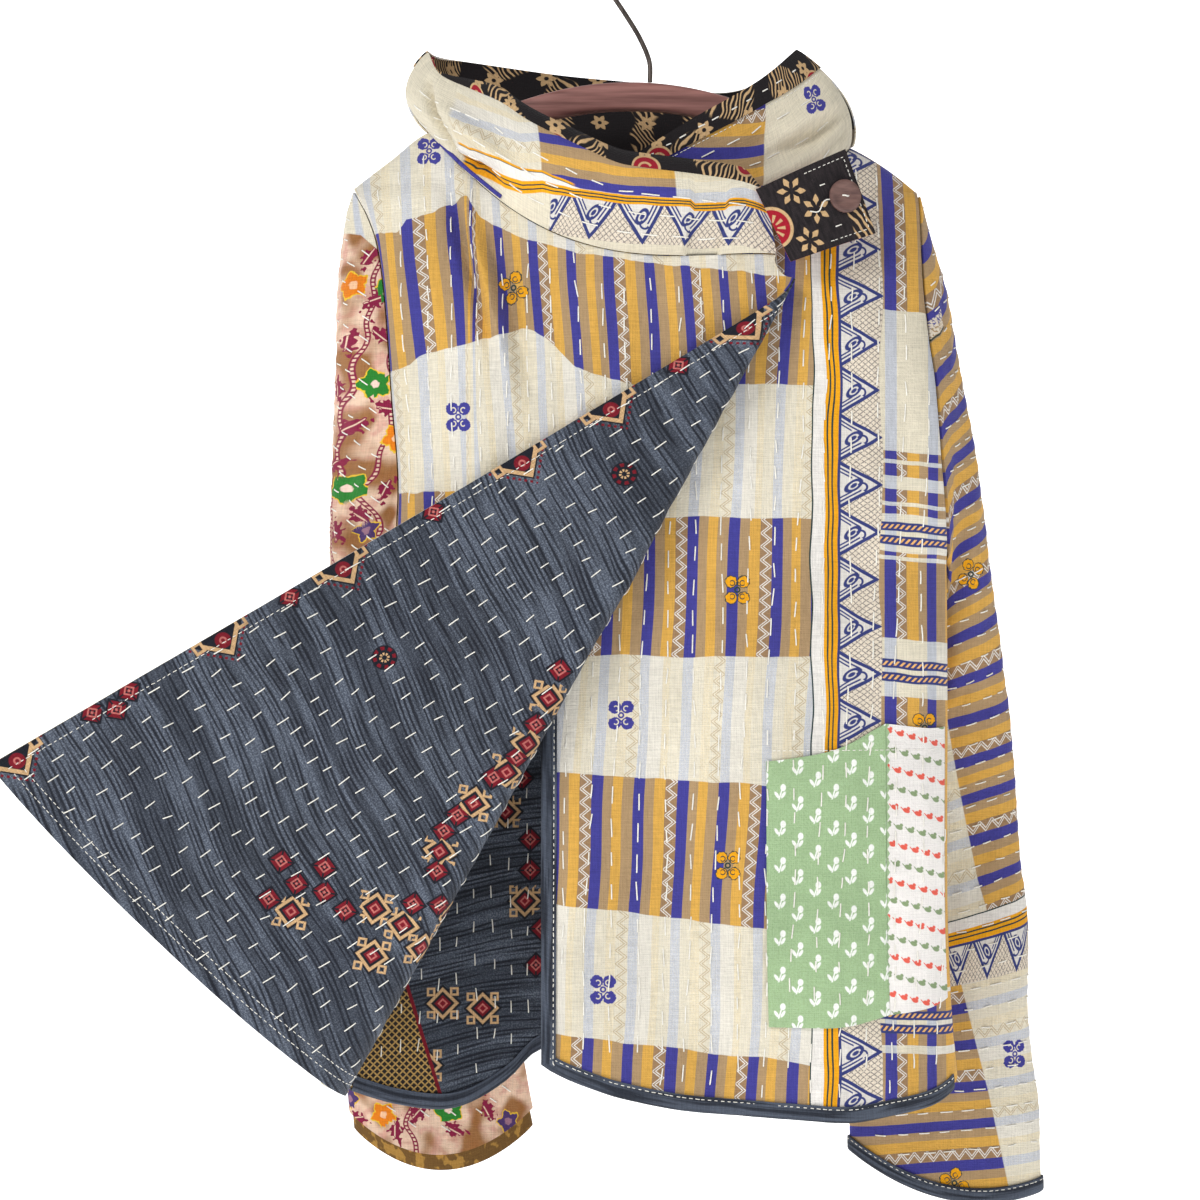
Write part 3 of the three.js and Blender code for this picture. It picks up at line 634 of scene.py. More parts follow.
def sleeve_form(line, droop, side_line, side, rings, start=0.0):
    q = line(rings / RINGS)
    outer, inner = q[:, :3], q[:, 3:6]
    middle = (outer + inner) / 2
    long = outer - middle
    along = unit(long)
    wide = np.array([0, 1, 0]) - along * along[:, 1:2]
    wide *= (q[:, 6] / np.linalg.norm(wide, axis=1))[:, None]
    a = start + 2 * np.pi * np.arange(SLEEVE_AROUND)[:, None] / SLEEVE_AROUND
    crease = 1 + 0.06 * np.sin(rings * 1.15 + 2 * np.sin(a)) * smooth(rings, 2, 6)
    grid = middle + np.cos(a)[..., None] * long + (np.sin(a) * crease)[..., None] * wide
    grid[..., 2] -= droop * np.sin(a) ** 2 * smooth(rings, RINGS - 5, RINGS)
    fitted = side_line(grid[..., 2]) + side * (HALF_DOUBLE + GAP + 0.4)
    grid[..., 0] += (fitted - grid[..., 0])[:, :1] * np.clip(1 - rings, 0, 1)
    return grid


def sleeve_place(grid):
    """Cloth map of a sleeve: in from its outer line over either face, and down its length."""
    closed = np.concatenate([grid, grid[:1]])
    around, down = run_along(closed), run_along(grid.mean(0))
    return np.stack([np.minimum(around, around[-1] - around), np.broadcast_to(-down, around.shape)], -1)


def upright_place(grid, lean, side):
    """Cloth map of a sleeve that starts at its inner line: level round it, and down by height."""
    closed = np.concatenate([grid, grid[:1]])
    around = run_along(closed[..., :2])
    front = len(grid) // 4
    across = closed[front, :, 0] + lean * closed[front, :, 1] + side * (around - around[front])
    return np.stack([across, closed[..., 2]], -1)


sleeve_rings = np.linspace(0, RINGS, 170)
left_grid = sleeve_form(LEFT_SLEEVE, 30, LEFT_SIDE, -1, sleeve_rings, np.pi)
right_grid = sleeve_form(RIGHT_SLEEVE, 18, RIGHT_SIDE, 1, sleeve_rings, np.pi)
left_place, right_place = upright_place(left_grid, 0.4, -1), upright_place(right_grid, 0, 1)


def sleeve_relief(place, rings):
    """Short gathers across the sleeve, deeper behind the elbow, level at both ends."""
    across, down = place[:-1, :, 0], place[:-1, :, 1]
    from_seam = np.minimum(np.arange(len(across)), len(across) - np.arange(len(across)))[:, None]
    fade = smooth(rings, 0.4, 3) * smooth(RINGS - rings, 0, 1.2) * smooth(from_seam, 0, 10)
    fold = 2.2 * np.sin(down / 23 + 1.1 * np.sin(across / 40)) * (0.5 + 0.5 * np.sin(down / 90 + across / 70))
    gather = 0.35 * np.sin(across / 2.8 + 2.0 * np.sin(down / 19))
    return fade * (fold + gather + 0.3 * np.cos(2 * np.pi * down / 15))


# %% [markdown]
# The collar is three bands between the neckline and a top edge: the lap crosses the front, the back
# goes round the neck, and the under-lap comes down behind the lap. Each bulges outward between its
# edges and carries the folds of soft cloth that is pulled to one button.

# %% Collar bands
COLLAR_ROWS = 44
LAP_TOP = curve([
    (78, -72, -190), (61, -75, -185), (34, -77, -181), (-6, -77, -176), (-24, -75, -172), (-47, -70, -161),
    (-81, -60, -143), (-102, -50, -128), (-123, -36, -117), (-145, -18, -104), (-154, -0.3, -86),
])
BACK_TOP = curve([
    (-154, 0.3, -86), (-147, 25, -86), (-126, 44, -86), (-62, 58, -93), (-5, 62, -98), (52, 56, -106),
    (84, 40, -99), (98, 18, -90), (103, 0.3, -85),
])
UNDER_TOP = curve([
    (103, -0.3, -85), (85, -18, -102), (63, -32, -118), (28, -44, -139), (-6, -51, -161), (-40, -52, -184),
    (-72, -51, -207),
])
LAP_BULGE, SIDE_BULGE = 9, 15


def band(seam, top_line, bulge):
    t = np.linspace(0, 1, len(seam))
    v = np.linspace(0, 1, COLLAR_ROWS)[None, :, None]
    rise = lerp(seam[:, None], top_line(t)[:, None], v)
    return rise + bulge(t)[:, None] * np.sin(np.pi * v) ** 0.8


def band_place(grid):
    """Cloth map of a band: along its middle and up from its seam."""
    along = run_along(grid[:, COLLAR_ROWS // 2])[:, None]
    up = run_along(grid.swapaxes(0, 1)).T
    return np.stack([np.broadcast_to(along, up.shape), up], -1)


def lap_bulge(t):
    turn = smooth(t, 0.72, 1)
    forward = LAP_BULGE * (1 - turn) * smooth(t, 0, 0.2)
    return np.stack([0.2 * forward - SIDE_BULGE * turn, -forward, 0 * t], -1)


def under_bulge(t):
    turn = SIDE_BULGE * smooth(1 - t, 0.72, 1)
    return np.stack([turn, -0.3 * turn, 0 * t], -1)


def stand_bulge(t):
    return np.stack([-np.cos(np.pi * t) * SIDE_BULGE, 8 * np.sin(np.pi * t), 0 * t], -1)


ON_DOUBLE = HALF_DOUBLE + GAP + CLOTH
ON_QUILT = QUILT / 2 + GAP + CLOTH + 0.3
UP = np.array([0, 0, 1])

lap_ends = np.array([[LEFT_NECK - 3, SHOULDER(LEFT_NECK - 3)], [LEFT_NECK, SHOULDER(LEFT_NECK)]])
lap_shares = 1 - (1 - np.linspace(0, 1, 110)) ** 1.25
lap_strip = wrap_form(lap_ends, lap_shares)[0]
lap_seam = lap_strip[1] + grid_normals(lap_strip)[1] * ON_DOUBLE + 0.6 * UP
lap_grid = band(lap_seam, LAP_TOP, lap_bulge)

neck_share = spread(back_share[BACK_COLUMNS.index(LEFT_NECK):BACK_COLUMNS.index(RIGHT_NECK) + 1], 110)
neck_strip = back_at(back_flat(neck_share, np.array([0.99, 1.0])))
stand_seam = neck_strip[:, 1] - grid_normals(neck_strip)[:, 1] * ON_DOUBLE + 0.8 * UP
stand_grid = band(stand_seam, BACK_TOP, stand_bulge)

lapped_share = spread([0, 0.12, 0.24, 0.35, 0.45, 0.546, 0.64, 0.74, 0.838], 110)[::-1]
lapped_strip = front_at(under_flat(lapped_share, np.array([0.99, 1.0])))
lapped_seam = lapped_strip[:, 1] + grid_normals(lapped_strip)[:, 1] * ON_QUILT + 1.2 * UP
lapped_grid = band(lapped_seam, UNDER_TOP, under_bulge)
print("collar seams run", [round(run_along(s)[-1]) for s in (lap_seam, stand_seam, lapped_seam)], "mm")

# %% [markdown]
# Every cloth is drawn by its weaver's or printer's own measures, in the millimetres of the cloth map.
# Two small classes make that short: a field is a number at every point, and adding or comparing
# fields lays the shader nodes; a cloth holds one material and offers stripes, noise and mixing.


# %% Fields and cloths
def shade(r, g, b):
    """Linear colour from matched 0-255 values."""
    return tuple((c / 255 / 12.92) if c < 11 else ((c / 255 + 0.055) / 1.055) ** 2.4
                 for c in (r, g, b)) + (1.0,)


def set_sockets(node, values):
    for socket, value in values.items():
        node.inputs[socket.replace("_", " ")].default_value = value
    return node


def add(nodes, kind, **values):
    """A new shader node with constants on its sockets."""
    return set_sockets(nodes.new("ShaderNode" + kind), values)


KIND_STEP, NO_MOTIF, MOTIF_REACH = 100.0, 5050, 40


class Field:
    def __init__(self, cloth, socket):
        self.cloth, self.socket = cloth, socket

    def math(self, kind, *others):
        node = add(self.cloth.nodes, "Math")
        node.operation = kind
        for slot, value in zip(node.inputs, (self, *others)):
            self.cloth.feed(slot, value)
        return Field(self.cloth, node.outputs[0])

    __add__ = __radd__ = partialmethod(math, "ADD")
    __sub__ = partialmethod(math, "SUBTRACT")
    __mul__ = __rmul__ = partialmethod(math, "MULTIPLY")
    __truediv__ = partialmethod(math, "DIVIDE")
    __abs__ = partialmethod(math, "ABSOLUTE")
    wrap = partialmethod(math, "FLOORED_MODULO")
    ping = partialmethod(math, "PINGPONG")
    most = partialmethod(math, "MAXIMUM")
    least = partialmethod(math, "MINIMUM")

    def __rsub__(self, other):
        return (self * -1).math("ADD", other)

    def dye(self, other, mask):
        return self.cloth.mix(self, other, mask)

    def above(self, edge, soft=0.3):
        """1 where the field is past the edge, with a soft step."""
        if isinstance(edge, Field):
            return (self - edge).above(0, soft)
        node = add(self.cloth.nodes, "MapRange", From_Min=edge - soft, From_Max=edge + soft)
        node.interpolation_type = "SMOOTHSTEP"
        self.cloth.links.new(self.socket, node.inputs["Value"])
        return Field(self.cloth, node.outputs[0])

    def below(self, edge, soft=0.3):
        return 1 - self.above(edge, soft)

    def within(self, low, high, soft=0.3):
        return self.above(low, soft) - self.above(high, soft)


def length(dx, dz):
    """How far a place lies from its centre."""
    return (dx * dx + dz * dz).math("SQRT")


def finish(name, **values):
    """A fresh material with its nodes, links and shader, and constants set on the shader's sockets."""
    material = bpy.data.materials.new(name)
    material.use_nodes = True
    skin = set_sockets(material.node_tree.nodes["Principled BSDF"], values)
    return material, material.node_tree.nodes, material.node_tree.links, skin


class Cloth:
    def __init__(self, name):
        self.material, self.nodes, self.links, self.skin = finish(
            name, Specular_IOR_Level=0.2, Sheen_Weight=0.08,
        )
        self.x, self.z = self.read("cloth")
        self.seed, self.spot = 0, None

    def read(self, name):
        source = add(self.nodes, "UVMap")
        source.uv_map = name
        parts = add(self.nodes, "SeparateXYZ")
        self.links.new(source.outputs["UV"], parts.inputs[0])
        return Field(self, parts.outputs[0]), Field(self, parts.outputs[1])

    def motif(self, kind):
        """Place from the nearest motif of a kind, far off where the cloth has none."""
        if self.spot is None:
            self.spot = self.read("motif")
        return self.spot[0] - KIND_STEP * kind, self.spot[1]

    def feed(self, slot, value):
        if isinstance(value, Field):
            self.links.new(value.socket, slot)
        else:
            slot.default_value = value

    def noise(self, across, along=None, detail=2.0, x=None, z=None):
        """Smooth noise from 0 to 1 with lumps of the given sizes."""
        self.seed += 1
        place = add(self.nodes, "CombineXYZ")
        self.feed(place.inputs[0], (x or self.x) * (1 / across) + 3.7 * self.seed)
        self.feed(place.inputs[1], (z or self.z) * (1 / (along or across)))
        node = add(self.nodes, "TexNoise", Scale=1.0, Detail=detail)
        node.noise_dimensions = "2D"
        self.links.new(place.outputs[0], node.inputs["Vector"])
        return Field(self, node.outputs[0])

    def mix(self, base, other, mask, kind="MIX"):
        node = add(self.nodes, "Mix")
        node.data_type = "RGBA"
        node.blend_type = kind
        self.feed(node.inputs[0], mask)
        self.feed(node.inputs[6], base)
        self.feed(node.inputs[7], other)
        return Field(self, node.outputs[2])

    def ramp(self, field, low, high, stops, kind="CONSTANT"):
        """Colours or heights by place along a field."""
        node = add(self.nodes, "ValToRGB")
        band = node.color_ramp
        band.interpolation = kind
        while len(band.elements) < len(stops):
            band.elements.new(0.5)
        for element, (place, value) in zip(band.elements, stops):
            element.position = (place - low) / (high - low)
            element.color = value if isinstance(value, tuple) else (value, value, value, 1)
        self.feed(node.inputs[0], (field - low) * (1 / (high - low)))
        return Field(self, node.outputs[0])

    def profile(self, field, points):
        """A bent line: the height at each place, straight between the given points."""
        places, heights = zip(*points)
        low, high = min(heights), max(heights)
        stops = [(p, (h - low) / (high - low)) for p, h in points]
        return self.ramp(field, places[0], places[-1], stops, "LINEAR") * (high - low) + low

    def near(self, x0, z0, turn=0.0):
        """Place from a centre, turned by an angle in degrees."""
        dx, dz = self.x - x0, self.z - z0
        c, s = math.cos(math.radians(turn)), math.sin(math.radians(turn))
        return dx * c + dz * s, dz * c - dx * s

    def weave(self, colour, depth=0.14, pitch=1.3, lumps=0.1):
        """Slubs along warp and weft, a soft stain, and the woven bump; then the cloth is finished."""
        slub = self.noise(0.9, 16, 1.0) + self.noise(14, 0.9, 1.0)
        stain = self.noise(70, 90, 1.0)
        light = (slub - 1) * (2.2 * depth) + (stain - 0.5) * (3 * lumps) + 1
        tone = self.mix(colour, light, 1.0, "MULTIPLY")
        self.links.new(tone.socket, self.skin.inputs["Base Color"])
        threads = self.x.ping(pitch / 2) * self.z.ping(pitch / 2) * (4 / pitch**2)
        threads = threads + self.noise(1.5, 1.5, 0.0) * 1.6
        bump = add(self.nodes, "Bump", Strength=0.35, Distance=0.0006)
        self.links.new(threads.socket, bump.inputs["Height"])
        self.links.new(bump.outputs[0], self.skin.inputs["Normal"])
        rough = stain * 0.2 + 0.78
        self.links.new(rough.socket, self.skin.inputs["Roughness"])
        return self.material


# %% [markdown]
# Single motifs are set one by one: each has a kind and a place on its panel. Every face of the panel
# keeps its place from the nearest motif in a second map, with the kind added in hundreds, so that a
# cloth draws all its motifs of a kind with one small drawing.


# %% Motif map
def set_motifs(piece, motifs):
    """Motifs are (kind, x, z, turn in degrees) in the cloth map of the piece."""
    mesh = piece.data
    corners = np.empty(2 * len(mesh.loops), np.float32)
    mesh.uv_layers["cloth"].data.foreach_get("uv", corners)
    corners = corners.reshape(-1, 2)
    first, count = (np.empty(len(mesh.polygons), np.int32) for _ in range(2))
    mesh.polygons.foreach_get("loop_start", first)
    mesh.polygons.foreach_get("loop_total", count)
    kind, x, z, turn = np.array(motifs, float).T
    spots = np.stack([x, z], -1)
    middle = np.add.reduceat(corners, first, axis=0) / count[:, None]
    away = np.linalg.norm(middle[:, None] - spots[None], axis=-1)
    near, far = away.argmin(1), away.min(1) > MOTIF_REACH
    near, far = np.repeat(near, count), np.repeat(far, count)
    local = corners - spots[near]
    c, s = np.cos(np.radians(turn[near])), np.sin(np.radians(turn[near]))
    local = np.stack([local[:, 0] * c + local[:, 1] * s, local[:, 1] * c - local[:, 0] * s], -1)
    local[:, 0] += KIND_STEP * kind[near]
    local[far] = NO_MOTIF
    mesh.uv_layers.new(name="motif").data.foreach_set("uv", local.astype(np.float32).ravel())


# %% [markdown]
# The sari cloth is woven in one repeat of stripes, 57 mm wide: blue, tan and ochre bars and a brown
# bar with a double white zigzag. Where a cream weft crosses the same warp the bars go pale, so one
# function gives both and a mask says where the cream weft lies.

# %% Sari cloth
CREAM, CREAM_WARM, CREAM_PALE = shade(217, 209, 188), shade(219, 207, 178), shade(219, 214, 202)
PALE_BLUE, PALE_TAN = shade(190, 193, 200), shade(178, 154, 112)
BLUE, TAN, OCHRE, BROWN = shade(64, 62, 142), shade(168, 140, 104), shade(210, 162, 76), shade(152, 122, 90)
WHITE, GOLD, NAVY, PINE = shade(226, 222, 216), shade(229, 160, 22), shade(52, 60, 116), shade(44, 62, 62)
LATTICE = shade(222, 210, 192)
REPEAT = 57.1


def sari(cloth, u, v, pale):
    """Striped cloth across u, its zigzag running along v, and the cream weft where pale is 1."""
    u = u + (cloth.noise(60, 90, 0.0, u, v) - 0.5) * 5
    s = u.wrap(REPEAT)
    stripes = cloth.ramp(s, 0, REPEAT, [
        (0, BLUE), (7.4, TAN), (13.8, OCHRE), (20.2, TAN), (27.6, BLUE), (35, TAN), (41.4, OCHRE),
        (48.8, BROWN),
    ])
    creams = cloth.ramp(s, 0, REPEAT, [
        (0, PALE_BLUE), (6.6, CREAM), (14, CREAM_WARM), (20.2, CREAM), (28.2, PALE_BLUE),
        (34.6, CREAM_PALE), (44, CREAM_WARM), (49, CREAM),
    ])
    swing = (v.ping(4.6) - 2.3) * 1.25
    lines = abs(abs(s - 52.9 - swing) - 1.1).below(0.5, 0.3) * s.above(49.2)
    faint = abs(abs(s - 24.3 - swing) - 1.1).below(0.45, 0.3) * s.within(20.4, 28) * 0.75
    melange = cloth.noise(0.8, 0.8, 0.0, u, v)
    speck = cloth.mix(creams, CREAM_PALE, melange.above(0.55, 0.08) * 0.45)
    return cloth.mix(cloth.mix(stripes, WHITE, lines), cloth.mix(speck, PALE_TAN, faint), pale)


def flower(cloth, colour):
    """Woven flowers of four hooked petals about a small ring: kind 1 is blue, kind 2 gold."""
    place, dz = cloth.motif(0)
    gilt = place.above(150, 1)
    tone, edge = cloth.mix(BLUE, GOLD, gilt), cloth.mix(BLUE, PINE, gilt)
    dx = (place + 50).wrap(100) - 50
    px, pz = abs(dx) - 4.3, abs(dz) - 5.5
    far = length(px, pz) + (cloth.noise(1.6, 1.6, 0.0) - 0.5) * 1.2
    ring = abs(length(dx, dz) - 1.6)
    colour = colour.dye(edge, far.below(4.4, 0.25))
    colour = colour.dye(tone, far.below(3.7, 0.25))
    seed = length(px + 0.8, pz + 0.9)
    colour = colour.dye(CREAM, abs(seed - 1.7).below(0.4, 0.2) * (px - pz * 0.5).below(0.4) * (1 - gilt))
    colour = colour.dye(edge, abs(seed - 1.7).below(0.35, 0.2) * px.below(0.6) * gilt)
    return colour.dye(edge, ring.below(0.6, 0.25))


def border(cloth, colour, across, along, apex=0.0):
    """The woven border: white and gold bars, then navy triangles on a dotted lattice."""
    lattice_a, lattice_b = (across * 0.8 + along).ping(1.9), (across * 0.8 - along).ping(1.9)
    dots = lattice_a.least(lattice_b).below(0.42, 0.25) * cloth.noise(0.7, 0.7, 0.0).above(0.36, 0.1) * 0.8
    ground = cloth.mix(LATTICE, shade(84, 80, 84), dots)
    colour = cloth.mix(colour, ground, across.within(20, 48.4))
    edge = ((along - apex).ping(16.2) * (28.7 / 16.2)) + 20.2
    inside = ((edge * -1 + 69.1) - across) * 0.49
    colour = colour.dye(NAVY, inside.above(0, 0.2) * across.above(20))
    colour = colour.dye(shade(214, 210, 204), inside.above(2.3, 0.2) * across.above(20))
    hatch = inside.within(3.5, 4.6, 0.2) * across.below(34)
    hatch = hatch.most(inside.within(5.7, 6.7, 0.2) * across.below(28))
    colour = colour.dye(NAVY, hatch * across.above(20))
    local = (along - apex + 16.2).wrap(32.4) - 16.2
    c, s = math.cos(0.62), math.sin(0.62)
    ax, az = across - 29, local + 0.5
    ox, oz = (ax * c + az * s) / 7.0, (az * c - ax * s) / 3.5
    oval = length(ox, oz)
    leaf = oval.within(0.58, 1.0, 0.06).most(oval.below(0.36, 0.08))
    bx, bz = across - 34.6, local + 1.6
    curl = abs(length(bx, bz) - 2.8).below(0.72, 0.2) * (bx + bz).above(-1.6)
    colour = colour.dye(NAVY, leaf.most(curl) * across.above(20))
    bars = cloth.ramp(across, 0, 24, [
        (0, PINE), (0.9, WHITE), (8.9, GOLD), (11.0, PINE), (12.1, GOLD), (14.2, PINE), (15.3, GOLD),
        (18.6, NAVY), (20.6, NAVY),
    ])
    return colour.dye(bars, across.within(0, 20.5, 0.2))


def ropes(cloth, colour, across, along, height):
    """Two navy cords with slanted gold floats, woven across a strip."""
    for place in (0.0, 9.3):
        dz = along - (height - place)
        colour = colour.dye(NAVY, abs(dz).below(3.1))
        gold = (across - dz * 0.9).wrap(4.0).within(0.9, 2.7, 0.3) * abs(dz).below(1.5, 0.3)
        colour = colour.dye(shade(232, 178, 110), gold)
    return colour


# %% [markdown]
# The under front has broad cream bands across the stripes, tilted a little towards the hem. Beyond
# the upright border a narrow strip has its own bands, plaid bars and cords.

# %% Under front cloth
def under_cloth():
    cloth = Cloth("under_front_cloth")
    x, z = cloth.x, cloth.z
    tilt = (z * -1).above(590, 110) * (x - 111) * 0.13
    band = z + tilt + (cloth.noise(40) - 0.5) * 5
    pale = band.within(-412.8, -321.6) + band.within(-597.9, -508) + band.within(-787.7, -698.6)
    main = sari(cloth, x - z * 0.045 - (17.1 + 0.045 * 640), z, pale)
    wave = (cloth.noise(30, 70, 1.0) - 0.5) * 7
    across = x + wave - 110.2
    colour = border(cloth, main, across, z, -487.3)
    steps = [(-830, 0), (-784, 1), (-777, 0), (-770, 1), (-754, 0), (-741, 1), (-736, 0), (-537.5, 1),
             (-504, 1), (-497.1, 0), (-444.6, 1), (-440.7, 0), (-436.9, 1), (-411.5, 0), (-407.3, 1),
             (-403.8, 0), (-395.4, 1), (-387, 0), (-378.3, 1), (-375.2, 0), (-370.7, 1), (-273.7, 0)]
    slope = z + (x - 180) * 0.09 + (cloth.noise(30) - 0.5) * 3
    side_pale = cloth.ramp(slope, -830, -100, steps)
    order = cloth.ramp(x, 120, 240, [(120, TAN), (161, BLUE), (169.3, BROWN), (176.8, OCHRE), (185, TAN),
                                     (191.2, BLUE), (198, TAN), (205, OCHRE)])
    creams = cloth.ramp(x, 120, 240, [(120, CREAM), (161, PALE_BLUE), (169.3, CREAM), (191.2, PALE_BLUE),
                                      (198, CREAM_PALE)])
    swing = abs(abs(x - 173 - (z.ping(4.6) - 2.3) * 1.25) - 1.1).below(0.5)
    order = cloth.mix(order, WHITE, swing * x.within(169.6, 176.6))
    side = cloth.mix(order, creams, side_pale)
    for height in (-419.5, -514, -755):
        side = ropes(cloth, side, x, slope, height)
    return cloth.weave(flower(cloth, colour.dye(side, across.above(48.4))))


UNDER_FLOWERS = [(1, -19.6, -547.8, 0), (1, -31.9, -735, 0), (2, 59.9, -462, 0), (2, 53.5, -650.6, 0),
                 (2, 189, -557, 0)]


# %% [markdown]
# The wrap front's visible upper part has a striped field between two uneven cream edges. The cloth
# is drawn in towards the collar's fold, so the stripes crowd there; a bent scale does the same.

# %% Wrap front and back cloth
def wrap_cloth():
    cloth = Cloth("wrap_front_cloth")
    x, z = cloth.x, cloth.z
    scale = cloth.profile(x, [(-240, -75), (-152, -2), (-144.5, 5.4), (-136, 13.7), (-126, 24),
                              (-118, 55.1), (-112, 62), (-105, 70), (-70, 112.2), (100, 300)])
    top = cloth.profile(x, [(-240, -216), (-176, -215), (-169, -207), (-148, -203.5), (-138, -196),
                            (-124, -194), (-116, -207), (-90, -221), (-50, -232), (-6, -238.5),
                            (110, -250)])
    low = cloth.profile(x, [(-240, -318), (-167, -308), (-157, -301), (-135, -296), (-100, -288),
                            (-88, -283), (-79, -285.5), (-68, -293), (-50, -311), (-24, -319), (40, -335),
                            (110, -345)])
    fray = (cloth.noise(16) - 0.5) * 4
    pale = (z + fray).above(top).most((z + fray).below(low)) - (z + fray).within(-470, -395, 0.4)
    colour = sari(cloth, REPEAT * 8 - 7.4 - (scale + (z + 260) * 0.07), z, pale.most(0))
    return cloth.weave(flower(cloth, colour))


WRAP_FLOWERS = [(2, -93, -256, 25), (1, -152.5, -158, 0), (1, -131, -344, 0)]
BACK_FLOWERS = [(1, -96, -246, 0), (2, 70, -348, 0), (1, -40, -442, 0), (1, 104, -640, 0), (2, -120, -540, 0)]


def back_cloth():
    cloth = Cloth("back_cloth")
    band = cloth.z + (cloth.noise(50) - 0.5) * 5
    pale = band.within(-300, -205) + band.within(-492, -394) + band.within(-690, -588)
    colour = sari(cloth, cloth.x - cloth.z * 0.03, cloth.z, pale)
    return cloth.weave(flower(cloth, colour))


# %% [markdown]
# The right sleeve is cut with its stripes running round the arm. A woven border crosses it near the
# cuff, and the cream weft runs in one slanting band down its length.

# %% Right sleeve cloth
RIGHT_LEAN = [(-960, 0.08), (-800, 0.1), (-690, 0.33), (-560, 0.3), (-500, 0.4), (-440, 0.5), (-375, 0.58),
              (-345, 0.72), (-319, 0.82), (-276, 1.0), (-180, 1.05)]
RIGHT_RUN = [(120, -47), (187, 0), (276, 62), (345, 115), (440, 197), (560, 308), (700, 441), (960, 698)]
RIGHT_FLOWERS = [(2, 229.8, -450.6, -20), (1, 266, -797, 0), (2, 222, -890, 30)]


def right_sleeve_cloth():
    cloth = Cloth("right_sleeve_cloth")
    x, z = cloth.x, cloth.z
    down = (x - 230) * cloth.profile(z, RIGHT_LEAN) - z
    run = cloth.profile(down, RIGHT_RUN)
    inner = cloth.profile(z, [(-720, 250), (-690, 244), (-670, 238), (-555, 214), (-545, 150), (-180, 150)])
    outer = cloth.profile(z, [(-960, 275), (-896, 262), (-822, 245.5), (-743, 226), (-700, 215)])
    lower = run.above(450, 0.5)
    pale = x.below(inner, 0.5) * (1 - lower) + x.above(outer, 0.5) * lower
    colour = sari(cloth, run + 243.9, x, pale)
    colour = border(cloth, colour, run - 438, x * 1.5, 336)
    scrap = down.within(250, 262) * x.below(213)
    colour = colour.dye(LATTICE, scrap * cloth.noise(1.4, 1.4, 0.0).above(0.42, 0.1))
    colour = colour.dye(PINE, abs(down - 263).below(0.7) * x.below(213))
    return cloth.weave(flower(cloth, colour))


# %% [markdown]
# The left sleeve is a loose floral print: brown blotches on a pink ground, beaded maroon vines with
# leaves, and starry flowers in green, orange and purple. Its cap is a pieced-in bit of cream sari.

# %% Floral cloth
def vine(cloth, colour, path, tone, bead):
    """A chain of pale beads in a dark line that wanders down the cloth."""
    wave = (cloth.z * 0.21).math("SINE") * 1.6
    across = cloth.x + cloth.x.below(-232, 0.1) * 108
    away = abs(across - cloth.profile(cloth.z, path) - wave)
    colour = colour.dye(tone, away.below(1.9, 0.35))
    return colour.dye(bead, away.below(0.85, 0.3) * cloth.z.wrap(2.9).within(0.6, 2.3, 0.3))


FLORAL = [
    (1, -201.8, -319.8, 0), (1, -209.5, -390.9, 20), (1, -196, -257, 0), (2, -217.5, -251, 0),
    (2, -187, -357, 15), (3, -195.4, -420, 0), (4, -210, -232, 60), (4, -199, -286, 140),
    (4, -211, -348, 40), (4, -190, -392, 70), (4, -213, -421, 110), (4, -217, -290, 80), (1, -165, -560, 0),
    (2, -200, -520, 0), (1, -200, -620, 10), (4, -180, -480, 30), (4, -150, -600, 100), (2, -186, -690, 0),
    (1, -170, -740, 0), (3, -150, -660, 0), (4, -120, -720, 20), (4, -200, -780, 70), (2, -140, -800, 0),
    (1, -110, -838, 0), (2, -157, -842, 20), (4, -203, -262, 20), (4, -222, -322, 100),
    (4, -194, -336, 170), (4, -219, -374, 30), (4, -201, -410, 140), (4, -186, -306, 60),
    (4, -226, -404, 80), (4, -148, -853, 90), (4, -106, -853, 150), (4, -190, -836, 100),
    (4, -132, -840, 50), (4, -82, -840, 120), (3, -66, -848, 0), (4, -178, -846, 10), (4, -95, -790, 60),
]
# The same motifs again on the hidden side, moved round the sleeve.
FLORAL += [(kind, x - (60 if z > -480 else 118), z + 16, turn + 40) for kind, x, z, turn in FLORAL]


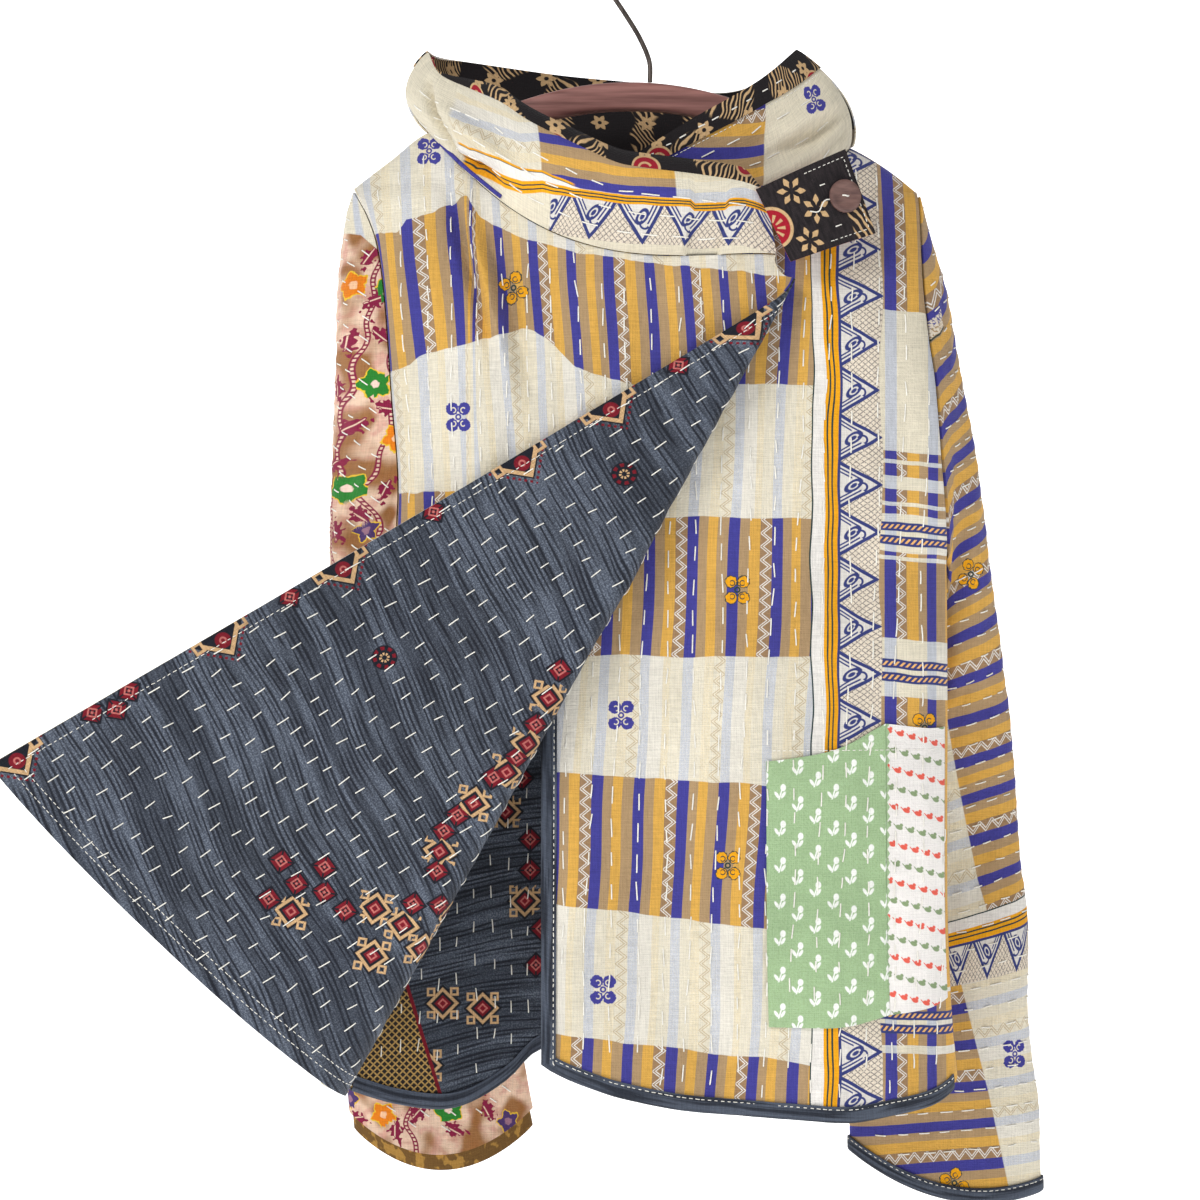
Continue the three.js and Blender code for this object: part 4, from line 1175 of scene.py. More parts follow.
def floral_cloth():
    cloth = Cloth("floral_sleeve_cloth")
    maroon, brown, pink = shade(130, 28, 62), shade(142, 92, 40), shade(224, 194, 170)
    x, z = cloth.x, cloth.z
    colour = cloth.mix(pink, shade(196, 128, 120), cloth.noise(9, 9, 2.0).above(0.56, 0.14) * 0.55)
    stained = cloth.noise(24, 26, 1.0)
    colour = colour.dye(brown, stained.above(0.53, 0.11) * 0.92)
    path = [(-900, -206), (-860, -196), (-820, -214), (-770, -196), (-730, -212), (-690, -186),
            (-640, -204), (-590, -184), (-540, -200), (-490, -190), (-440, -216), (-412, -221),
            (-380, -214), (-345, -217), (-318, -214), (-300, -212), (-286, -207), (-262, -205),
            (-235, -203)]
    colour = vine(cloth, colour, path, maroon, pink)
    second = [(-900, -120), (-850, -140), (-800, -128), (-740, -156), (-700, -140), (-640, -166),
              (-560, -150), (-480, -176), (-420, -186), (-395, -204), (-370, -196), (-330, -188),
              (-300, -192), (-240, -186)]
    colour = vine(cloth, colour, second, maroon, pink)
    dx, dz = cloth.motif(4)
    ragged = (cloth.noise(2.6, 2.6, 0.0) - 0.5) * 1.3
    leaf = abs(dx) * (1 / 10.5) + abs(dz + dx * dx * 0.03) * (1 / 5.2) + ragged
    colour = colour.dye(maroon, leaf.below(1, 0.08))
    colour = colour.dye(pink, abs(dz - 0.6).below(0.45, 0.25) * leaf.below(0.75, 0.1))
    place, dz = cloth.motif(0)
    dx = (place + 50).wrap(100) - 50
    far = length(dx, dz) + ragged * 1.4
    tip = (dz.math("ARCTAN2", dx) * (5 / math.pi)).ping(1) * 3.4
    tip = tip + cloth.ramp(place, 0, 400, [(0, 7.4), (150, 6.0), (250, 5.0)])
    flowers = place.below(350, 1)
    tone = cloth.ramp(place, 0, 400,
                      [(0, shade(40, 124, 44)), (150, shade(222, 124, 24)), (250, shade(74, 52, 104))])
    heart = cloth.ramp(place, 0, 400,
                       [(0, shade(236, 206, 192)), (150, shade(238, 190, 150)), (250, shade(150, 110, 130))])
    colour = colour.dye(shade(226, 186, 52), (tip + 1.0 - far).above(0, 0.3) * flowers)
    colour = colour.dye(tone, (tip - far).above(0, 0.3) * flowers)
    colour = colour.dye(heart, far.below(2.6, 0.4) * flowers)
    seam = cloth.profile(x, [(-260, -210), (-218, -216), (-203, -228), (-193, -241), (-186, -262),
                             (-150, -300)])
    cap = cloth.mix(CREAM, PALE_BLUE, (x + z * 0.4).wrap(24).within(4, 10, 1))
    return cloth.weave(colour.dye(cap, z.above(seam, 0.5)))


# %% [markdown]
# The lining is a slate cloth with fine uneven stripes across, and two columns of woven motifs: hooked
# diamonds outlined in tan and red, with small red lozenges between them.

# %% Slate lining
SLATE, SLATE_DARK, SLATE_PALE = shade(76, 83, 96), shade(24, 27, 36), shade(106, 114, 127)
DARK_RED, SAND, ROSE = shade(116, 20, 34), shade(196, 160, 118), shade(184, 104, 98)


def lozenge(dx, dz, wide, high):
    return abs(dx) * (1 / wide) + abs(dz) * (1 / high)


def vee(cloth, colour, kind):
    """Half a hooked diamond that points away from the edge, with a red roundel and red dots."""
    dx, dz = cloth.motif(kind)
    a, b = dx * -1, abs(dz)
    reach = a + b
    here = a.above(-6) * b.below(24)
    colour = colour.dye(SLATE_DARK, reach.below(20) * here * b.below(19))
    dots = abs(reach - 23).below(1.2) * (a - b).wrap(5.6).below(2.6)
    colour = colour.dye(DARK_RED, dots * here)
    curl = abs(abs(a - 2.5).most(abs(b - 16.5)) - 2.9).below(1.0)
    colour = colour.dye(SAND, curl.most(abs(reach - 16.6).below(2.0) * b.below(14.5)) * here)
    far = length(a - 6.5, b)
    colour = colour.dye(DARK_RED, far.below(5.4))
    return colour.dye(ROSE, far.within(1.3, 2.5))


def rosette(cloth, colour, kind):
    """A red lozenge in four parts about a pale heart."""
    dx, dz = (part * 1.15 for part in cloth.motif(kind))
    step = lozenge(dx, dz, 10.5, 10.5)
    colour = colour.dye(SLATE_DARK, step.below(1.05, 0.04))
    parts = abs(dx).least(abs(dz)).above(0.7)
    colour = colour.dye(DARK_RED, step.below(0.86, 0.04) * parts)
    return colour.dye(ROSE, abs(step - 0.4).below(0.08, 0.04).most(step.below(0.13, 0.04)))


def hooked(cloth, colour, kind):
    """A tan diamond with a curl at each side, about a red heart."""
    dx, dz = (part * 1.15 for part in cloth.motif(kind))
    a, b = abs(dx), abs(dz)
    step = lozenge(dx, dz, 13, 13)
    curl = abs(abs(a - 9.5).most(abs(b - 9.5)) - 2.6).below(0.9) * a.below(13)
    colour = colour.dye(SLATE_DARK, step.below(1.2, 0.04))
    colour = colour.dye(SAND, curl.most(abs(step - 0.88).below(0.13, 0.05)))
    colour = colour.dye(DARK_RED, step.below(0.52, 0.05))
    return colour.dye(ROSE, abs(step - 0.26).below(0.07, 0.04))


def speckle(cloth, colour, kind):
    """A small ring of dots."""
    dx, dz = cloth.motif(kind)
    far = length(dx, dz)
    ray = (dz.math("ARCTAN2", dx) * (4 / math.pi)).ping(0.5)
    dots = abs(far - 6.5).below(1.2) * ray.above(0.24, 0.05)
    colour = colour.dye(SLATE_DARK, far.below(8.6))
    dots = dots.most(abs(far - 2.6).below(0.9) * ray.above(0.2, 0.05))
    return colour.dye(cloth.mix(DARK_RED, SAND, far.below(3.5)), dots)


def lining_cloth(name):
    cloth = Cloth(name)
    x, z = cloth.x, cloth.z
    bent = z - x * 0.17 + (cloth.noise(90, 80, 0.0) - 0.5) * 12
    uneven = cloth.noise(40, 4.0, 0.0, x, bent)
    cord = (bent + uneven * 2.2).wrap(3.3).within(0.8, 2.4, 0.5)
    broad = cloth.noise(260, 13, 1.0, x, bent)
    colour = cloth.mix(SLATE_PALE, SLATE, cloth.noise(1.1, 1.1, 0.0).above(0.45, 0.12))
    colour = colour.dye(SLATE_DARK, cord * uneven.above(0.4, 0.2) * 0.9)
    colour = colour.dye(SLATE_DARK, broad.above(0.5, 0.1) * 0.55)
    for drawing, kind in ((vee, 1), (rosette, 2), (hooked, 3), (speckle, 4)):
        colour = drawing(cloth, colour, kind)
    return cloth, colour


def free_edge_x(z):
    return 99.4 - 0.0437 * (z + 235.8)


WRAP_MOTIFS = [(1, free_edge_x(z), z, 0) for z in (-296, -399, -469, -609, -702, -858)]
WRAP_MOTIFS += [(2, free_edge_x(z) - 4, z, 0) for z in (-345, -537, -649, -772, -800)] + [(2, 113, -786, 0)]
WRAP_MOTIFS += [(4, 57.7, -419.7, 0), (4, 43.8, -622, 0)]
RED_LOZENGES = [
    (-33.5, -757.7), (-53.3, -736.6), (-52.3, -758.2), (-50.5, -779), (-67.6, -746.5), (-86, -742),
    (-119, -688), (-77.7, -656.7), (-98, -676), (-63.5, -589), (-30, -532), (-74, -643), (-66, -609),
    (-52, -566), (-108, -702),
]
TAN_DIAMONDS = [
    (-66, -772), (-96, -725), (-116, -716), (-138, -715), (-73, -630), (-42, -549), (-134, -686),
    (-122, -745), (-88, -667), (-60, -578), (-68, -600),
]
for kind, spots in ((2, RED_LOZENGES), (3, TAN_DIAMONDS)):
    WRAP_MOTIFS += [(kind, x, z, 45) for x, z in spots]
BACK_MOTIFS = [(3, -102, -620, 0), (2, -90, -596, 0), (2, -84, -640, 0), (2, -84, -662, 0),
               (3, -88, -684, 0), (2, -76, -704, 0), (3, -146, -756, 0), (3, -158, -800, 0),
               (2, -170, -776, 0), (3, -118, -760, 0), (2, -80, -730, 0), (3, -112, -575, 0),
               (3, 20, -640, 0), (2, 60, -560, 0), (3, 120, -420, 0), (2, -40, -420, 0)]

# %% [markdown]
# The smaller cloths: a slate binding strip, the two pocket prints, the black print of the facings and
# tab, brown-gold cloth inside the left cuff and the tab's red underside.

# %% Small cloths
def binding_cloth():
    cloth = Cloth("slate_binding_cloth")
    colour = cloth.mix(SLATE, SLATE_DARK, cloth.noise(3, 60).above(0.5, 0.15) * 0.8)
    return cloth.weave(colour, 0.2)


def sprig_cloth():
    """White sprigs on green: a tulip head and a stem with two leaves."""
    cloth = Cloth("green_sprig_cloth")
    column = (cloth.x / 12).math("FLOOR")
    dx = cloth.x.wrap(12) - 6
    dz = (cloth.z + column * 8.33 + 4).wrap(25) - 12.5
    low, high = dz + 2.4, dz - 2.6
    stem = abs(dx - dz * 0.3).below(0.5, 0.25) * dz.within(-5.6, 4.4)
    head = ((dx - 1.2) * (dx - 1.2) + high * high * 0.6).math("SQRT").below(1.9, 0.3)
    side = abs(dx + 0.9) - 2.2 - low * 0.5
    leaf = (side * side + low * low * 0.3).math("SQRT").below(1.25, 0.3)
    sprig = stem.most(head).most(leaf)
    colour = cloth.mix(shade(160, 187, 144), shade(142, 172, 124), cloth.noise(1.2).above(0.55, 0.1) * 0.5)
    colour = colour.dye(shade(240, 242, 236), sprig)
    return cloth.weave(colour, 0.1)


def bird_cloth(join):
    """Small birds in rows on white, coral and sage by turns, and the pinked green edge laid over."""
    cloth = Cloth("white_bird_cloth")
    row_z = cloth.z + cloth.x * 0.3
    row = (row_z / 12.9).math("FLOOR")
    dx = (cloth.x + row * 3.0).wrap(7.9) - 3.95
    dz = row_z.wrap(12.9) - 6.4
    body = (dx * dx * 0.5 + dz * dz).math("SQRT").below(1.7, 0.3)
    wing = length(dx - 1.5, dz - 1.9).below(1.1, 0.3)
    beak = abs(dx + 2.2 + dz).below(0.5, 0.2) * abs(dz).below(1.6)
    tone = cloth.mix(shade(226, 96, 80), shade(136, 156, 116), row.wrap(2).above(0.5, 0.1))
    colour = cloth.mix(shade(236, 232, 228), tone, body.most(wing).most(beak))
    pinked = (join + cloth.z.ping(3.2) * 0.6) - cloth.x
    colour = colour.dye(shade(160, 187, 144), pinked.above(0, 0.2))
    return cloth.weave(colour, 0.08)


def black_cloth(name="black_print_cloth"):
    """Black print: tan zebra bars and leaves, petal flowers and a few red roundels."""
    cloth = Cloth(name)
    x, z = cloth.x, cloth.z
    black, tan, red = shade(30, 26, 28), shade(200, 166, 122), shade(150, 26, 44)
    bent = x + z * 0.7 + (cloth.noise(18, 18, 1.0) - 0.5) * 14
    zebra = bent.wrap(4.4).within(0.9, 2.5, 0.3) * cloth.noise(38, 38, 0.0).above(0.54, 0.02)
    colour = cloth.mix(black, tan, zebra)
    dx, dz = x.wrap(34) - 17, (z + 9).wrap(34) - 17
    far = length(dx, dz)
    petal = (dz.math("ARCTAN2", dx) * (3 / math.pi)).ping(0.5)
    bloom = (far - 5.5 + petal * 6).below(1.2, 0.3) * far.above(1.5) * far.below(7.5)
    colour = colour.dye(tan, bloom * (1 - zebra))
    ex, ez = (x + 17).wrap(68) - 34, (z + 40).wrap(68) - 34
    ring = length(ex, ez)
    colour = colour.dye(tan, ring.below(9.5, 0.3))
    colour = colour.dye(red, ring.below(8, 0.3))
    return cloth.weave(colour.dye(tan, abs(ring - 4).below(0.7, 0.3) * (ex + ez).above(-2)), 0.12)


def tab_cloth():
    """The tab is cut so that one large tan flower and half a red roundel show on its black."""
    cloth = Cloth("tab_cloth")
    x, z = cloth.x, cloth.z
    black, tan, red = shade(30, 26, 28), shade(200, 166, 122), shade(158, 24, 42)
    colour = cloth.mix(black, shade(44, 38, 40), cloth.noise(2, 9).above(0.5, 0.2))
    for x0, z0, size, turn in ((21, 44, 10, 10), (32, 27, 10, 40), (19, 9, 10, 0)):
        dx, dz = cloth.near(x0, z0, turn)
        far = length(dx, dz)
        ray = (dz.math("ARCTAN2", dx) * (3 / math.pi)).ping(0.5)
        bloom = (ray * 7 - 1.2).above(abs(far - 0.6 * size) * 0.6, 0.25)
        bloom = bloom * far.below(size, 0.3) * far.above(1.2)
        colour = colour.dye(tan, bloom)
    rx, rz = cloth.near(-2, 26)
    ring = length(rx, rz)
    colour = colour.dye(tan, ring.below(15, 0.3))
    colour = colour.dye(red, ring.below(12.8, 0.3))
    spokes = (rz.math("ARCTAN2", rx) * (5 / math.pi)).ping(0.5)
    colour = colour.dye(tan, ring.within(4, 9.5, 0.3) * spokes.above(0.3, 0.06))
    bars = (x * 0.9 + z * 0.35 + (cloth.noise(14) - 0.5) * 6).wrap(4.6).within(0.8, 2.6, 0.3)
    colour = colour.dye(tan, bars * x.above(51.5, 0.6) * z.below(19, 0.8))
    return cloth.weave(colour, 0.12)


def plain_cloth(name, tone, other):
    cloth = Cloth(name)
    motif = cloth.noise(9, 11, 2.0).above(0.55, 0.04)
    return cloth.weave(cloth.mix(tone, other, motif), 0.16)


def thread(name, tone):
    cloth = Cloth(name)
    return cloth.weave(cloth.mix(tone, shade(214, 208, 196), cloth.noise(3, 3).above(0.62, 0.1) * 0.4), 0.08)


# %% [markdown]
# Hard parts: a turned wooden button, the hanger's stained wood with its long grain, and dull wire.
# They are drawn in object places, so that the grain runs along the bar.

# %% Hard finishes
def grained(name, dark, light, stretch, roughness, metal=0.0):
    material, nodes, links, skin = finish(name, Metallic=metal)
    place = add(nodes, "TexCoord")
    scale = add(nodes, "Mapping", Scale=stretch)
    links.new(place.outputs["Object"], scale.inputs["Vector"])
    grain = add(nodes, "TexNoise", Scale=1.0, Detail=5.0)
    links.new(scale.outputs[0], grain.inputs["Vector"])
    tint = add(nodes, "ValToRGB")
    for element, at, tone in zip(tint.color_ramp.elements, (0.32, 0.68), (dark, light)):
        element.position, element.color = at, tone
    shine = add(nodes, "MapRange", To_Min=roughness - 0.1, To_Max=roughness + 0.15)
    bump = add(nodes, "Bump", Strength=0.25, Distance=0.0004)
    for node, slot, socket in (
        (tint, 0, "Base Color"), (shine, "Value", "Roughness"), (bump, "Height", "Normal"),
    ):
        links.new(grain.outputs[0], node.inputs[slot])
        links.new(node.outputs[0], skin.inputs[socket])
    return material


def floor_finish():
    material, nodes, links, skin = finish(
        "pale_paper", Roughness=0.95, Emission_Color=(1, 1, 1, 1), Emission_Strength=0.8,
    )
    grain = add(nodes, "TexNoise", Scale=3.0)
    tint = add(nodes, "ValToRGB")
    for element, grey in zip(tint.color_ramp.elements, (246, 252)):
        element.color = shade(grey, grey, grey)
    links.new(grain.outputs[0], tint.inputs[0])
    links.new(tint.outputs[0], skin.inputs["Base Color"])
    side = add(nodes, "NewGeometry")
    clear = add(nodes, "BsdfTransparent")
    choice = add(nodes, "MixShader")
    links.new(side.outputs["Backfacing"], choice.inputs[0])
    links.new(skin.outputs[0], choice.inputs[1])
    links.new(clear.outputs[0], choice.inputs[2])
    links.new(choice.outputs[0], nodes["Material Output"].inputs["Surface"])
    return material


floor.data.materials.append(floor_finish())

# %% [markdown]
# Now the cloth panels are made as shells, each on the form of its solid and with its finish. The
# back comes first, then the under front with its pocket, the wrap front and the sleeves.

# %% Panels
def front_only(points):
    points[..., 1] = np.minimum(points[..., 1], -GAP / 2)
    return points


def back_only(points):
    points[..., 1] = np.maximum(points[..., 1], GAP / 2)
    return points


def dress(piece, material, node, motifs=None):
    piece.data.materials.append(material)
    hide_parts(node)
    if motifs:
        set_motifs(piece, motifs)
    return piece


OUTER, INNER = GAP / 2 + CLOTH / 2, -GAP / 2 - CLOTH / 2
back_lift = back_relief(back_place)
under_lift = under_relief(under_place)
wrap_lift = wrap_relief(wrap_place, wrap_past)
left_lift, right_lift = (sleeve_relief(p, sleeve_rings) for p in (left_place, right_place))

back_piece = dress(
    shell("back_panel", back_grid, back_place, OUTER, CLOTH, -1, relief=back_lift, limit=back_only),
    back_cloth(), "back", BACK_FLOWERS,
)
back_inside, back_tone = lining_cloth("back_lining_cloth")
slant, counter = back_inside.x + back_inside.z, back_inside.x - back_inside.z
lattice = slant.ping(2.6).least(counter.ping(2.6)).below(0.7)
lattice_tone = back_inside.mix(shade(36, 32, 30), shade(176, 142, 84), lattice)
corner, low_part = back_inside.x + (back_inside.z + 740) * 0.3, back_inside.z.below(-725)
back_tone = back_tone.dye(lattice_tone, corner.below(-172, 0.5) * low_part)
back_tone = back_tone.dye(DARK_RED, abs(corner + 172).below(1.3) * low_part)
back_lining = dress(
    shell("back_lining_panel", back_grid, back_place, INNER, CLOTH, -1, relief=back_lift, limit=back_only),
    back_inside.weave(back_tone, 0.26), "back_lining", BACK_MOTIFS,
)
under_piece = dress(
    shell("under_front_panel", under_grid, under_place, 0, QUILT, 1, relief=under_lift, limit=front_only),
    under_cloth(), "under_front", UNDER_FLOWERS,
)


def pocket_shell(name, place):
    return shell(name, front_at(place), place, POCKET_OUT + 0.3, CLOTH, 1, relief=under_relief(place))


green_piece = dress(pocket_shell("pocket_green_part", green_place), sprig_cloth(), "pocket_green")
white_piece = dress(
    pocket_shell("pocket_white_part", white_place), bird_cloth(float(white_place[0, :, 0].mean())),
    "pocket_white",
)
wrap_piece = dress(
    shell("wrap_front_panel", wrap_grid, wrap_map, OUTER, CLOTH, 1, relief=wrap_lift, limit=front_only),
    wrap_cloth(), "wrap_front", WRAP_FLOWERS,
)
wrap_inside, wrap_tone = lining_cloth("wrap_lining_cloth")
wrap_lining = dress(
    shell("wrap_lining_panel", wrap_grid, wrap_place, INNER, CLOTH, 1, relief=wrap_lift, limit=front_only),
    wrap_inside.weave(wrap_tone, 0.26), "wrap_front_lining", WRAP_MOTIFS,
)
left_piece = dress(
    shell("left_sleeve", left_grid, left_place, 0, QUILT, 1, True, left_lift), floral_cloth(),
    "sleeve_left", FLORAL,
)
right_piece = dress(
    shell("right_sleeve", right_grid, right_place, 0, QUILT, -1, True, right_lift), right_sleeve_cloth(),
    "sleeve_right", RIGHT_FLOWERS,
)

# %% [markdown]
# The left cuff's facing goes on a little past the sleeve's edge, so its brown-gold cloth shows below.

# %% Cuff facing
cuff_rings = np.linspace(13, RINGS, 30)
cuff_grid = sleeve_form(LEFT_SLEEVE, 30, LEFT_SIDE, -1, cuff_rings)
cuff_way = unit(cuff_grid[:, -1] - cuff_grid[:, -2])
cuff_past = [cuff_grid[:, -1:] + (cuff_way * reach)[:, None] for reach in (4, 8, 12)]
cuff_grid = np.concatenate([cuff_grid, *cuff_past], 1)
cuff_piece = dress(
    shell("left_cuff_facing", cuff_grid, sleeve_place(cuff_grid), -GAP - QUILT / 2 - CLOTH / 2 - 0.3, CLOTH,
          1, True),
    plain_cloth("brown_gold_cloth", shade(112, 82, 42), shade(168, 128, 62)), "sleeve_left_facing",
)

# %% [markdown]
# The collar bands carry the sari's stripes along their length, and their facing in black print is
# turned over the top edge as a narrow hem. A few deep folds are drawn where the cloth is gathered.

# %% Collar cloths
def lap_cloth():
    """Stripes and cream above a woven border, which dips to the left under the neck fold."""
    cloth = Cloth("collar_lap_cloth")
    along, up = cloth.x, cloth.z
    line = cloth.profile(along, [(0, 27), (20, 33.5), (39, 35.5), (90, 36), (120, 33.3), (150, 27.2),
                                 (165, 23.5), (182, 15), (199, 10), (229, 2), (330, -4)])
    over = up - line + (cloth.noise(30) - 0.5) * 2
    gold = cloth.profile(along, [(0, 5), (60, 5.5), (140, 6), (165, 8), (229, 9), (330, 9)])
    white = cloth.profile(along, [(0, 5), (60, 5.5), (135, 6.2), (165, 13), (199, 18), (229, 16), (330, 16)])
    low = cloth.mix(border(cloth, CREAM, 20.5 - over, along, 60), CREAM, along.above(158, 1.0))
    pale = along.above(165, 0.6).most(along.below(68, 0.6))
    colour = sari(cloth, over - 5.3 + REPEAT * 2, along, pale)
    colour = colour.dye(GOLD, over.below(white + 1.9) * along.within(140, 240, 2))
    colour = colour.dye(PINE, over.below(white + 0.5) * along.within(140, 240, 2))
    colour = colour.dye(WHITE, over.below(white))
    bars = cloth.mix(GOLD, PINE, abs(abs(over - gold * 0.5) - gold * 0.17).below(0.45, 0.2))
    colour = colour.dye(bars, over.below(gold))
    colour = cloth.mix(low, colour, over.above(0))
    return cloth.weave(colour.dye(CREAM, along.above(243, 3.0)))


def lapped_cloth():
    cloth = Cloth("collar_under_cloth")
    along, up = cloth.x, cloth.z
    pale = (along + up * 0.25).below(88, 0.6)
    colour = cloth.mix(sari(cloth, up * 0.9 - along * 0.25 + 6, along, 0.0), CREAM, pale)
    return cloth.weave(flower(cloth, colour))


def stand_cloth():
    cloth = Cloth("collar_back_cloth")
    pale = cloth.x.below(96, 0.6) + cloth.x.above(214, 0.6)
    return cloth.weave(sari(cloth, cloth.z + 14, cloth.x, pale))


LAP_FOLDS = [(276, 50, 246, 4, 4, -13.0), (246, 4, 204, 11, 5, -11.0), (256, 36, 196, 27, 8, 7.0),
             (240, 30, 180, 30, 6, 2.6), (222, 12, 150, 34, 6, -2.4), (200, 22, 120, 42, 7, 1.8),
             (120, 20, 20, 22, 6, -1.6), (90, 44, 10, 36, 6, 1.4)]
LAPPED_FOLDS = [(8, 30, 70, 44, 5, -8.0), (6, 40, 60, 56, 7, 6.5), (20, 20, 90, 30, 6, 6.0),
                (40, 62, 110, 52, 7, -2.6), (0, 16, 50, 22, 5, -4.0)]
BLACK = black_cloth()
BAND_END = 9


def band_lift(place, folds):
    """Fold heights over a collar band, level at its seam, its top and both ends."""
    level = np.linspace(0, 1, COLLAR_ROWS)[None]
    along = place[..., 0]
    ends = smooth(along, 0, BAND_END) * smooth(along.max() - along, 0, BAND_END)
    return ends * crease_height(place, folds) * smooth(level, 0, 0.15) * smooth(1 - level, 0, 0.15)


collar_pieces = []
for name, grid, cloth, limit, folds in (
    ("lap", lap_grid, lap_cloth(), front_only, LAP_FOLDS),
    ("back", stand_grid, stand_cloth(), back_only, []),
    ("under", lapped_grid, lapped_cloth(), front_only, LAPPED_FOLDS),
):
    place = band_place(grid)
    lift = band_lift(place, folds)
    collar_pieces.append(dress(
        shell(f"collar_{name}_band", grid, place, 0, CLOTH, -1, relief=lift, limit=limit), cloth,
        f"collar_{name}",
    ))
    collar_pieces.append(dress(
        shell(f"collar_{name}_facing", grid[:, 8:], place[:, 8:], -CLOTH - GAP, CLOTH, -1,
              relief=lift[:, 8:], limit=limit),
        BLACK, f"collar_facing_{name}",
    ))
    if name == "lap":
        t = np.linspace(0, 1, len(grid))
        rise = 11 * smooth(t, 0, 0.1) * smooth(1 - t, 0.02, 0.3)
        share = np.linspace(0, 1, 10)
        way = np.stack([0 * share, 5 * share**2, share], -1)
        hem_grid = grid[:, -1:] + rise[:, None, None] * way[None] * np.array([1, 0.14, 1])
        hem_place = place[:, -1:] + np.stack([0 * rise[:, None] * share, rise[:, None] * share], -1)
        hem = shell("collar_lap_hem", hem_grid, hem_place, -0.5, 1.4, -1, limit=limit)
    else:
        hem = shell(f"collar_{name}_hem", grid[:, 35:], place[:, 35:], CLOTH + 0.2, 0.9, -1,
                    relief=lift[:, 35:], limit=limit)
    collar_pieces.append(dress(hem, BLACK, f"collar_facing_{name}"))

set_motifs(collar_pieces[6], [(1, 27, 56, 30), (2, 176, 36, 20)])

# A blue piped edge shows where the lap's seam dives under the neck fold.
PIPING = curve([lap_grid[i, 1] + np.array([0, -1.6, 0.4])
                for i in (100, 96, 92, 88, 84, 80, 76)])(np.linspace(0, 1, 60))

# %% [markdown]
# The tab sits on the collar's end at the right shoulder. Its cloth is slightly bowed, with a red
# underside, and the button is a turned disc with a dished face that a thread crosses.

# %% Tab and button
TAB = np.array([(71.6, -75.8, -190.6), (132.8, -67.8, -162), (153.8, -63.8, -219), (95.4, -73.8, -239.5)])
tab_u, tab_v = np.meshgrid(np.linspace(0, 1, 60), np.linspace(0, 1, 56), indexing="ij")
tab_low = lerp(TAB[3], TAB[2], tab_u[..., None])
tab_grid = lerp(tab_low, lerp(TAB[0], TAB[1], tab_u[..., None]), tab_v[..., None])
tab_grid[..., 1] += 2 * tab_u**2 - 3 * np.sin(np.pi * tab_u)
tab_place = np.stack([tab_u * 66, tab_v * 55], -1)
tab_lift = crease_height(tab_place,
                         [(6, 40, 34, 30, 6, 0.8), (40, 50, 60, 38, 5, -0.7), (20, 6, 60, 12, 5, 0.7)])
tab_piece = dress(shell("tab", tab_grid, tab_place, 0, CLOTH, 1, relief=tab_lift), tab_cloth(), "tab")
tab_under = dress(
    shell("tab_underside", tab_grid, tab_place, -CLOTH - GAP, CLOTH, 1, relief=tab_lift),
    plain_cloth("red_cloth", shade(172, 26, 44), shade(150, 20, 36)), "tab_underside",
)

button_out = grid_normals(tab_grid)[48, 28]
button_at = tab_grid[48, 28] + button_out * (0.9 + CLOTH / 2 + GAP)
button_x = unit(np.cross([0, 0, 1], button_out))
button_y = np.cross(button_out, button_x)


def turned(name, outline, sides=72):
    """A lathed solid from (radius, height) pairs on the button's axis."""
    a = circle(sides)
    ring = np.cos(a)[:, None] * button_x + np.sin(a)[:, None] * button_y
    points = [button_at + r * ring + h * button_out for r, h in outline]
    return mesh_piece(name, np.concatenate(points), tube_faces(len(outline), sides), None, 40)


dress(
    turned("button", [(0.01, -0.9), (10.4, -0.9), (11.3, -0.2), (11.5, 0.7), (11.2, 1.6), (10.2, 2.1),
                      (8.6, 2.1), (7.4, 1.7), (3.0, 1.5), (0.01, 1.5)]),
    grained("button_wood", shade(86, 60, 56), shade(124, 92, 84), (90, 90, 400), 0.42), "button",
)

# %% [markdown]
# Binding strips fold over the edges of the under front, the back hem and the right cuff. Each is a
# short profile carried along its edge, square to the cloth.

# %% Bindings
BINDING_PROFILE = np.array([(9, 1), (5, 1.08), (0, 1), (-1.3, 0.72), (-1.9, 0.3), (-1.9, -0.3),
                            (-1.3, -0.72), (0, -1), (5, -1.08), (9, -1)])


def strip(name, edge, into, normal, half, loop, node):
    into = unit(into - normal * (into * normal).sum(-1, keepdims=True))
    h = half + GAP + 0.55
    d, n = BINDING_PROFILE.T
    grid = edge[:, None] + into[:, None] * d[None, :, None] + normal[:, None] * (n * h)[None, :, None]
    ring = np.concatenate([edge, edge[:1]]) if loop else edge
    place = np.stack(np.meshgrid(run_along(grid[0]), run_along(ring)), -1)
    return dress(shell(name, grid, place, 0, 1.0, 1, loop), SLATE_STRIP, node)


SLATE_STRIP = binding_cloth()
under_mid, under_normal = on_surface(under_grid, 1, False, under_lift)
free = np.arange(170, 0, -1)
hem = np.arange(1, 90)
edge_line = np.concatenate([under_mid[0, free], under_mid[:1, 0], under_mid[hem, 0]])
edge_into = np.concatenate([
    under_mid[1, free] - under_mid[0, free], under_mid[1:2, 1] - under_mid[:1, 0],
    under_mid[hem, 1] - under_mid[hem, 0],
])
edge_normal = np.concatenate([under_normal[0, free], under_normal[:1, 0], under_normal[hem, 0]])
under_strip = strip("under_front_binding", edge_line, edge_into, edge_normal, QUILT / 2, False,
                    "under_front_binding")

